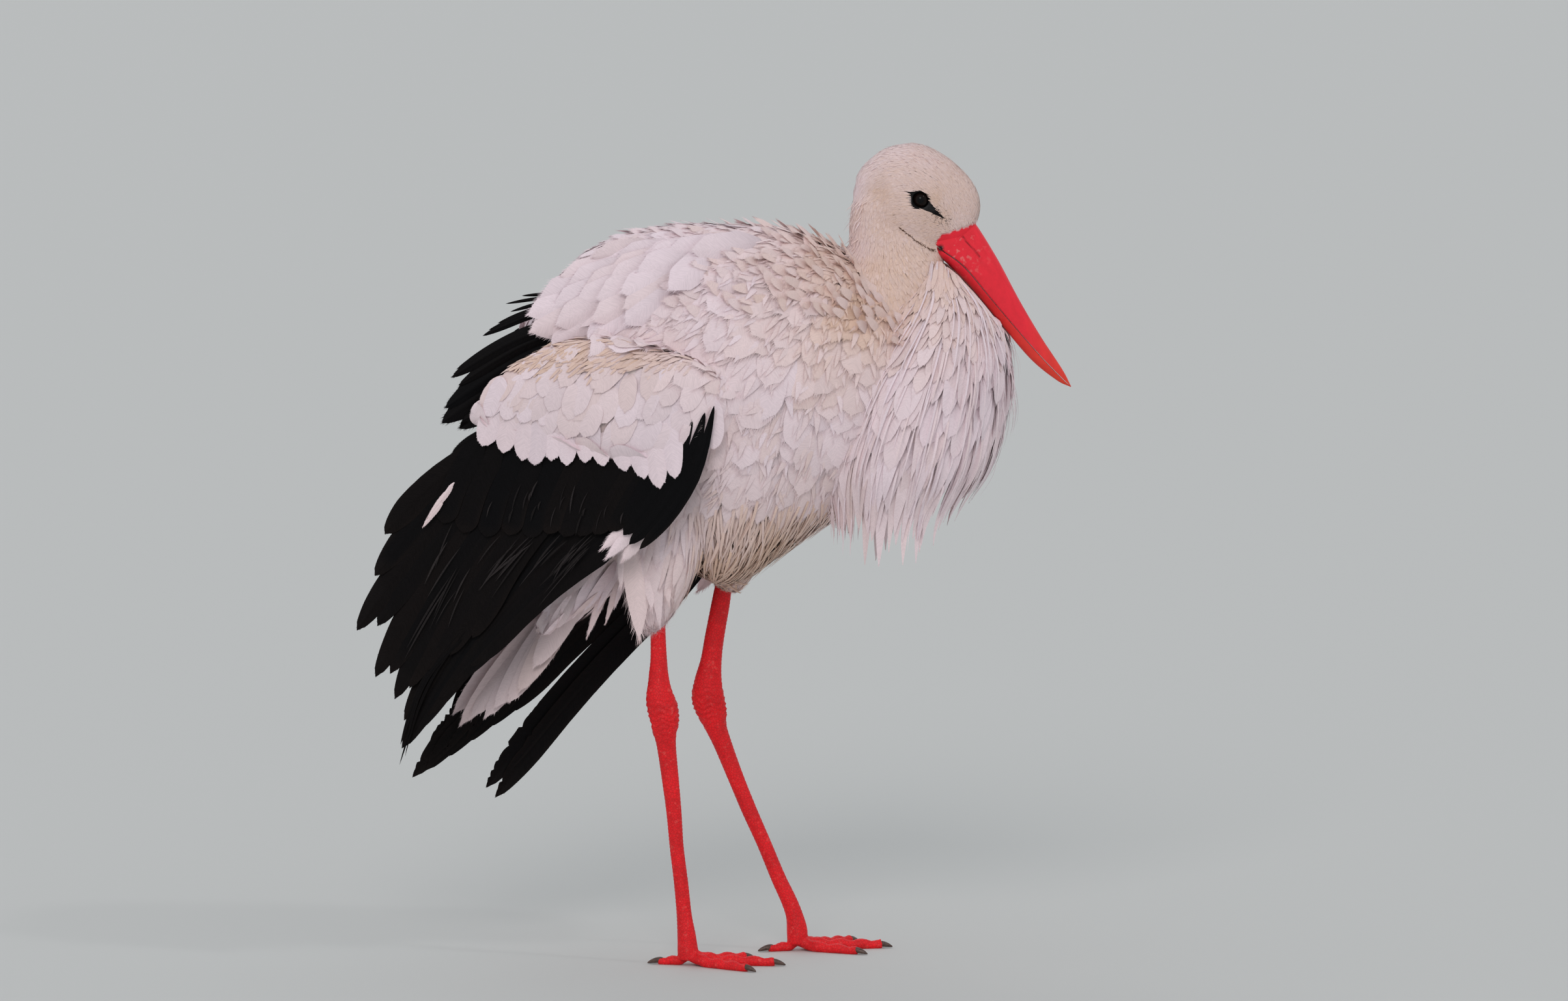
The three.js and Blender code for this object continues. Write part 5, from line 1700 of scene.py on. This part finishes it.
def build_skin():
    """One skin for the whole bird: pale under the coat, black at the eyes, painted shade in the corner of the
    mouth, red on the legs.
    """
    body = (with_sockets(SKIN_SHAPE[0]), SKIN_SHAPE[1])
    parts = [body, lid_skin(RIGHT), lid_skin(LEFT), leg_skin(RIGHT), leg_skin(LEFT)]
    points, faces = joined(parts)
    skin = add_object("skin", points, faces, SKIN)
    lids, _, legs = np.cumsum([len(p) for p, _ in parts])[:3]
    of_body = np.arange(len(points)) < lids
    heights, edge = zip(*FACE_EDGE)
    under_bill = (points[:, 0] > np.interp(points[:, 2], heights, edge) - 1.5) & (points[:, 2] > 600)
    round_eye = in_patch(points, 1.3) & (points[:, 2] > FACE_FOOT)
    shaded_gape = np.hypot(points[:, 0] - GAPE[0], points[:, 2] - GAPE[1]) < GAPE_RADIUS + 2
    tint = np.tile(DOWN, (len(points), 1))
    tint[lids:legs] = BARE_BLACK
    tint[of_body & under_bill] = BILL_RED
    tint[of_body & round_eye] = BARE_BLACK
    # Painted shade: the skin in the corner of the mouth is drawn black.
    tint[shaded_gape & (points[:, 2] > 500)] = BARE_BLACK
    tint[legs:] = RED
    scaly = np.arange(len(points)) >= legs
    paint(skin, "tint", tint)
    paint(skin, "kind", np.stack([scaly, 0 * scaly, 0 * scaly], 1))
    finished(skin)
    flesh = ["head", "neck", "trunk"]
    for side in NAME_OF.values():
        flesh += [part + side for part in ("thigh_", "shank_", "tarsus_", "foot_")]
    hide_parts(*flesh)


# ---- Eyes, bill and claws -------------------------------------------------------------------

PUPIL = 2.7
IRIS = 6.2
EYE_BROWN = np.array([0.007, 0.0035, 0.0025])
PUPIL_BLACK = np.array([0.003, 0.003, 0.003])


def build_eye(side):
    rings, rounds = 40, 64
    away = np.linspace(0, math.pi, rings)[:, None] * np.ones(rounds)
    turn = np.linspace(0, 2 * math.pi, rounds, endpoint=False) * np.ones((rings, 1))
    bulge = 0.45 * np.exp(-((away / 0.62) ** 2))
    size = EYE_BALL + bulge
    round_it = np.sin(away)
    local = np.stack([round_it * np.cos(turn), np.cos(away), round_it * np.sin(turn)], -1)
    points = (EYE + local * size[..., None]).reshape(-1, 3) * [1, side, 1]
    faces = [tuple(f) for f in grid_faces(rings, rounds, closed=True)]
    faces = faces if side == LEFT else [f[::-1] for f in faces]
    obj = add_object("eyeball_" + NAME_OF[side], points, faces, EYE_GLOSS)
    off = (EYE_BALL * np.sin(away)).ravel()
    in_iris = ((off > PUPIL) & (off < IRIS) & (away.ravel() < 1.5))[:, None]
    streak = 1 + 0.3 * np.sin(turn.ravel() * 31)[:, None]
    paint(obj, "tint", np.where(in_iris, EYE_BROWN * streak, PUPIL_BLACK))
    finished(obj)
    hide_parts("eye_" + NAME_OF[side])


BILL_WIDTHS = [17.0, 16.0, 13.4, 11.0, 8.8, 6.4, 3.6, 0.9]
NOSTRIL = np.array([(189, 642), (195, 634.2), (201.5, 627.2), (206.5, 620.6)])
NOSTRIL_DEPTH, NOSTRIL_WIDTH = 1.3, 0.6
FURROW_DEPTH, FURROW_WIDTH, FURROW_AWAY = 0.35, 2.0, 3.4  # a shallow hollow round the nostril
BILL_RINGS = 300
BILL_SIDES = 112


def along_bill(t):
    """Ridge, mouth and lower edge (x, z) and half width, a share t of the way to the tip."""
    width = smooth_line([(w,) for w in BILL_WIDTHS], t)[..., 0]
    return *(smooth_line(line, t) for line in (CULMEN, MOUTH_LINE, GONYS)), width


def mandible(upper):
    """Half of the bill as a closed tube: a rounded ridge, straight sides and an edge at the mouth."""
    t = np.linspace(0, 1, BILL_RINGS) ** 1.15
    ridge, mouth, under, width = along_bill(t)
    far = ridge if upper else under
    gap = unit(far - mouth) * (0.32 if upper else 0.38) * np.clip((1 - t) * 8, 0.1, 1)[:, None]
    edge = mouth + gap
    turn = np.linspace(0, 2 * math.pi, BILL_SIDES, endpoint=False)
    # From the ridge down one side to the mouth's edge and back up the other, with a trough inside.
    down = np.where(turn < math.pi, turn, 2 * math.pi - turn) / math.pi
    side = np.where(turn < math.pi, 1.0, -1.0)
    edge_at = 0.72
    outer = down < edge_at
    inward = (1 - down) / (1 - edge_at)
    swing = np.clip(down / edge_at, 0, 1) * math.pi / 2
    height = np.where(outer, np.cos(swing) ** (1.0 if upper else 0.9), 0.0)
    wide = np.where(outer, np.sin(swing) ** (0.82 if upper else 0.75), inward)
    trough = np.where(outer, 0.0, 0.10 * np.cos(np.clip(inward, 0, 1) * math.pi / 2))
    flare = 1.0 if upper else 0.93
    rise = (height + trough)[None, :, None] * (far - edge)[:, None, :] + edge[:, None, :]
    y = wide * side * width[:, None] * flare
    return np.stack([rise[..., 0], y, rise[..., 1]], -1).reshape(-1, 3), np.repeat(t, BILL_SIDES)[:, None]


def cut_nostrils(points):
    """Draws the upper bill in at its nostrils, and gives how near each point is to a slit, 0 to 1, for the
    painted shade in the slits.
    """
    gap = from_line(points[:, [0, 2]], NOSTRIL)
    outside = np.abs(points[:, 1]) > 2.5
    slit = NOSTRIL_DEPTH * np.exp(-((gap / NOSTRIL_WIDTH) ** 2))
    furrow = FURROW_DEPTH * np.exp(-(((gap - FURROW_AWAY) / FURROW_WIDTH) ** 2))
    points[:, 1] -= np.sign(points[:, 1]) * (slit + furrow) * outside
    return (np.clip(1 - gap / 0.8, 0, 1) * outside)[:, None]


def build_bill():
    rng = np.random.default_rng(5)
    # Each half: where it turns orange, as shares of its length, and how worn it is near the base.
    for half, orange_from, orange_over, worn in (("upper", 0.6, 0.4, 1.0), ("lower", 0.3, 0.7, 0.5)):
        points, share = mandible(half == "upper")
        slit = cut_nostrils(points) if half == "upper" else 0.0
        obj = add_object("horn_" + half, points, closed_faces(BILL_RINGS, BILL_SIDES), BILL_HORN)
        warm = np.clip((share - orange_from) / orange_over, 0, 1) * 0.8
        # Painted shade darkens the horn in the nostril slits.
        colour = (BILL_RED + (BILL_ORANGE - BILL_RED) * warm) * (1 - 0.9 * slit)
        colour = colour * rng.normal(1, 0.015, (len(colour), 1))
        # Painted shade blackens the horn at the corner of the mouth.
        corner = np.hypot(points[:, 0] - GAPE[0], points[:, 2] - GAPE[1])
        gape_shade = np.clip(1 - (corner - 1.5) / 2.5, 0, 1)[:, None]
        colour = colour * (1 - gape_shade) + BARE_BLACK * gape_shade
        paint(obj, "tint", colour)
        wear = np.clip((0.42 - share) / 0.25, 0, 1) * worn
        paint(obj, "kind", np.concatenate([wear, 0 * wear, 0 * wear], 1))
        finished(obj)
        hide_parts("bill_" + half)


# A nail: how far past its toe's end, height and half size.
NAIL = [(-5, 3.6, 1.6), (-2, 3.9, 2.9), (2, 3.5, 2.8), (6, 2.5, 2.0), (9, 1.4, 1.0), (10, 1.0, 0.4)]
LEAST_HEIGHT = 0.05


def build_claws(side):
    """Four blunt, slightly hooked nails, each growing from the top of a toe's end."""
    parts = []
    for toe, (_, length, _) in TOES.items():
        stations = []
        for reach, up, size in NAIL:
            place = toe_line(side, toe, length + reach)
            stations.append((place[0], place[1], up, size * 0.9, size))
        points, faces = tube_mesh(stations, 26, 16)
        points[:, 2] = np.maximum(points[:, 2], LEAST_HEIGHT)
        parts.append((points, faces))
    obj = add_object("claws_" + NAME_OF[side], *joined(parts), CLAW_HORN)
    finished(obj)
    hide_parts(*[f"claw_{NAME_OF[side]}_{toe}" for toe in TOES])


# The crease under the cheek, from behind it to the corner of the bill, as (x, 0, z).
CHEEK_FOLD = [(137, 0, 647), (144, 0, 641.5), (154, 0, 633.5), (164, 0, 628), (170, 0, 627)]
HAIR = dict(rows=5, columns=3, fray=0.0, cup=0.0, root_shade=0.88)


def fine_darks(name, side, place, heading, lengths, half_width, colour, rng):
    """Fine dark hairs that lie on the coat of one side of the head."""
    place = place.copy()
    place[:, 1] = [coat_at(x, z, side) for x, _, z in place]
    place = place * [1, side, 1]
    _, normal = nearest(COAT, place)
    heading = unit(heading - normal * dot(heading, normal))
    count = len(place)
    blades = combed(place, heading, lengths, rng.uniform(1.15, 1.5, count), 5, 0.5)
    patches = np.stack([np.full(count, 0.02), (place[:, 0] - 120) / 60], 1)
    add_vanes(name + NAME_OF[side], blades, half_width, np.tile(colour, (count, 1)), patches,
              BLACK_VANES, rng, **HAIR)


def build_crease_shade(side):
    """Painted shade: fine dark hairs along the crease where the cheek overlaps the throat."""
    rng = np.random.default_rng(64 + side)
    count = 150
    share = rng.random(count)
    line = smooth_line(CHEEK_FOLD, share)
    ahead = unit(smooth_line(CHEEK_FOLD, np.minimum(share + 0.02, 1.0)) - line + [0, 0, 1e-6])
    place = line + np.array([0, 0, 1]) * rng.normal(0, 0.35, (count, 1))
    heading = -ahead + rng.normal(0, 0.08, (count, 3))
    lengths = rng.uniform(4, 8, count) * (0.4 + 0.6 * share)
    fine_darks("crease_shade_", side, place, heading, lengths, rng.uniform(0.10, 0.26, count), CREASE_SHADE, rng)


def build_bristles(side):
    """Fine black bristles that stray from the bare patch towards the bill."""
    rng = np.random.default_rng(60 + side)
    count = 70
    a = rng.uniform(14, 31, count)
    b = rng.normal(-0.5, 2.2, count)
    place = EYE + a[:, None] * PATCH_AXIS + b[:, None] * PATCH_UP
    heading = PATCH_AXIS * rng.uniform(0.2, 1, (count, 1)) + PATCH_UP * rng.normal(0, 0.8, (count, 1))
    lengths = rng.uniform(3.0, 5.5, count)
    fine_darks("bristles_", side, place, heading, lengths, rng.uniform(0.07, 0.15, count), BARE_BLACK, rng)


# ---- Everything -----------------------------------------------------------------------------

build_skin()
build_bill()
build_body_coat()
build_ruff()
build_tail()
for side in (RIGHT, LEFT):
    build_eye(side)
    build_bristles(side)
    build_crease_shade(side)
    build_claws(side)
    build_wing(side)
    build_scapulars(side)
    build_white_scapulars(side)
    build_tufts(side)


# ---- Floor, light and camera ----------------------------------------------------------------


FLOOR_GREY = (0.60, 0.61, 0.59)
FLOOR_RADIUS = 60
SKY = (0.92, 0.95, 1.0)
SKY_STRENGTH = 0.60


def plain_material(name, colour, roughness):
    material = bpy.data.materials.new(name)
    material.use_nodes = True
    shader = material.node_tree.nodes["Principled BSDF"]
    shader.inputs["Base Color"].default_value = (*colour, 1)
    shader.inputs["Roughness"].default_value = roughness
    return material


def add_floor():
    bpy.ops.mesh.primitive_circle_add(vertices=128, radius=FLOOR_RADIUS, fill_type="NGON")
    floor = bpy.context.object
    floor.name = "floor"
    floor.data.materials.append(plain_material("floor", FLOOR_GREY, 0.9))


def add_sun(name, direction, softness, strength, colour=(1.0, 1.0, 1.0)):
    """Even light from far off. direction points from the bird towards it; softness is in degrees."""
    lamp = bpy.data.lights.new(name, "SUN")
    lamp.energy, lamp.angle, lamp.color = strength, math.radians(softness), colour
    obj = bpy.data.objects.new(name, lamp)
    obj.rotation_euler = (-Vector(direction)).to_track_quat("-Z", "Y").to_euler()
    bpy.context.scene.collection.objects.link(obj)


def add_lights():
    add_sun("key", (-0.12, -0.84, 0.53), 26, 0.84, (1.0, 0.955, 0.95))
    add_sun("rim", (-0.4, 0.8, 0.9), 40, 0.25)
    add_sun("glint", (0.61, -0.30, 0.73), 4, 0.15)
    world = bpy.data.worlds.new("studio")
    world.use_nodes = True
    sky = world.node_tree.nodes["Background"]
    sky.inputs["Color"].default_value = (*SKY, 1)
    sky.inputs["Strength"].default_value = SKY_STRENGTH
    bpy.context.scene.world = world


CAMERA_DISTANCE = 8.0
CAMERA_ELEVATION = math.radians(6)
WIDTH_SEEN = 1.376  # how wide the picture is at the bird, in metres
SENSOR = 36
AIM_X, AIM_Z = 35.4, 0.4057  # ahead of the bird's own zero in mm, and height in metres


def add_camera():
    """The photograph's view: the bird's right side, from a little above."""
    aim = Vector(((AIM_X + SHIFT[0]) * MM, 0, AIM_Z))
    away = Vector((0, -math.cos(CAMERA_ELEVATION), math.sin(CAMERA_ELEVATION)))
    camera = bpy.data.objects.new("camera", bpy.data.cameras.new("camera"))
    camera.data.sensor_width = SENSOR
    camera.data.lens = SENSOR * CAMERA_DISTANCE / WIDTH_SEEN
    camera.location = aim + away * CAMERA_DISTANCE
    camera.rotation_euler = (math.pi / 2 - CAMERA_ELEVATION, 0, 0)
    bpy.context.scene.collection.objects.link(camera)
    bpy.context.scene.camera = camera


add_floor()
add_lights()
add_camera()
bpy.context.scene.view_settings.view_transform = "Standard"
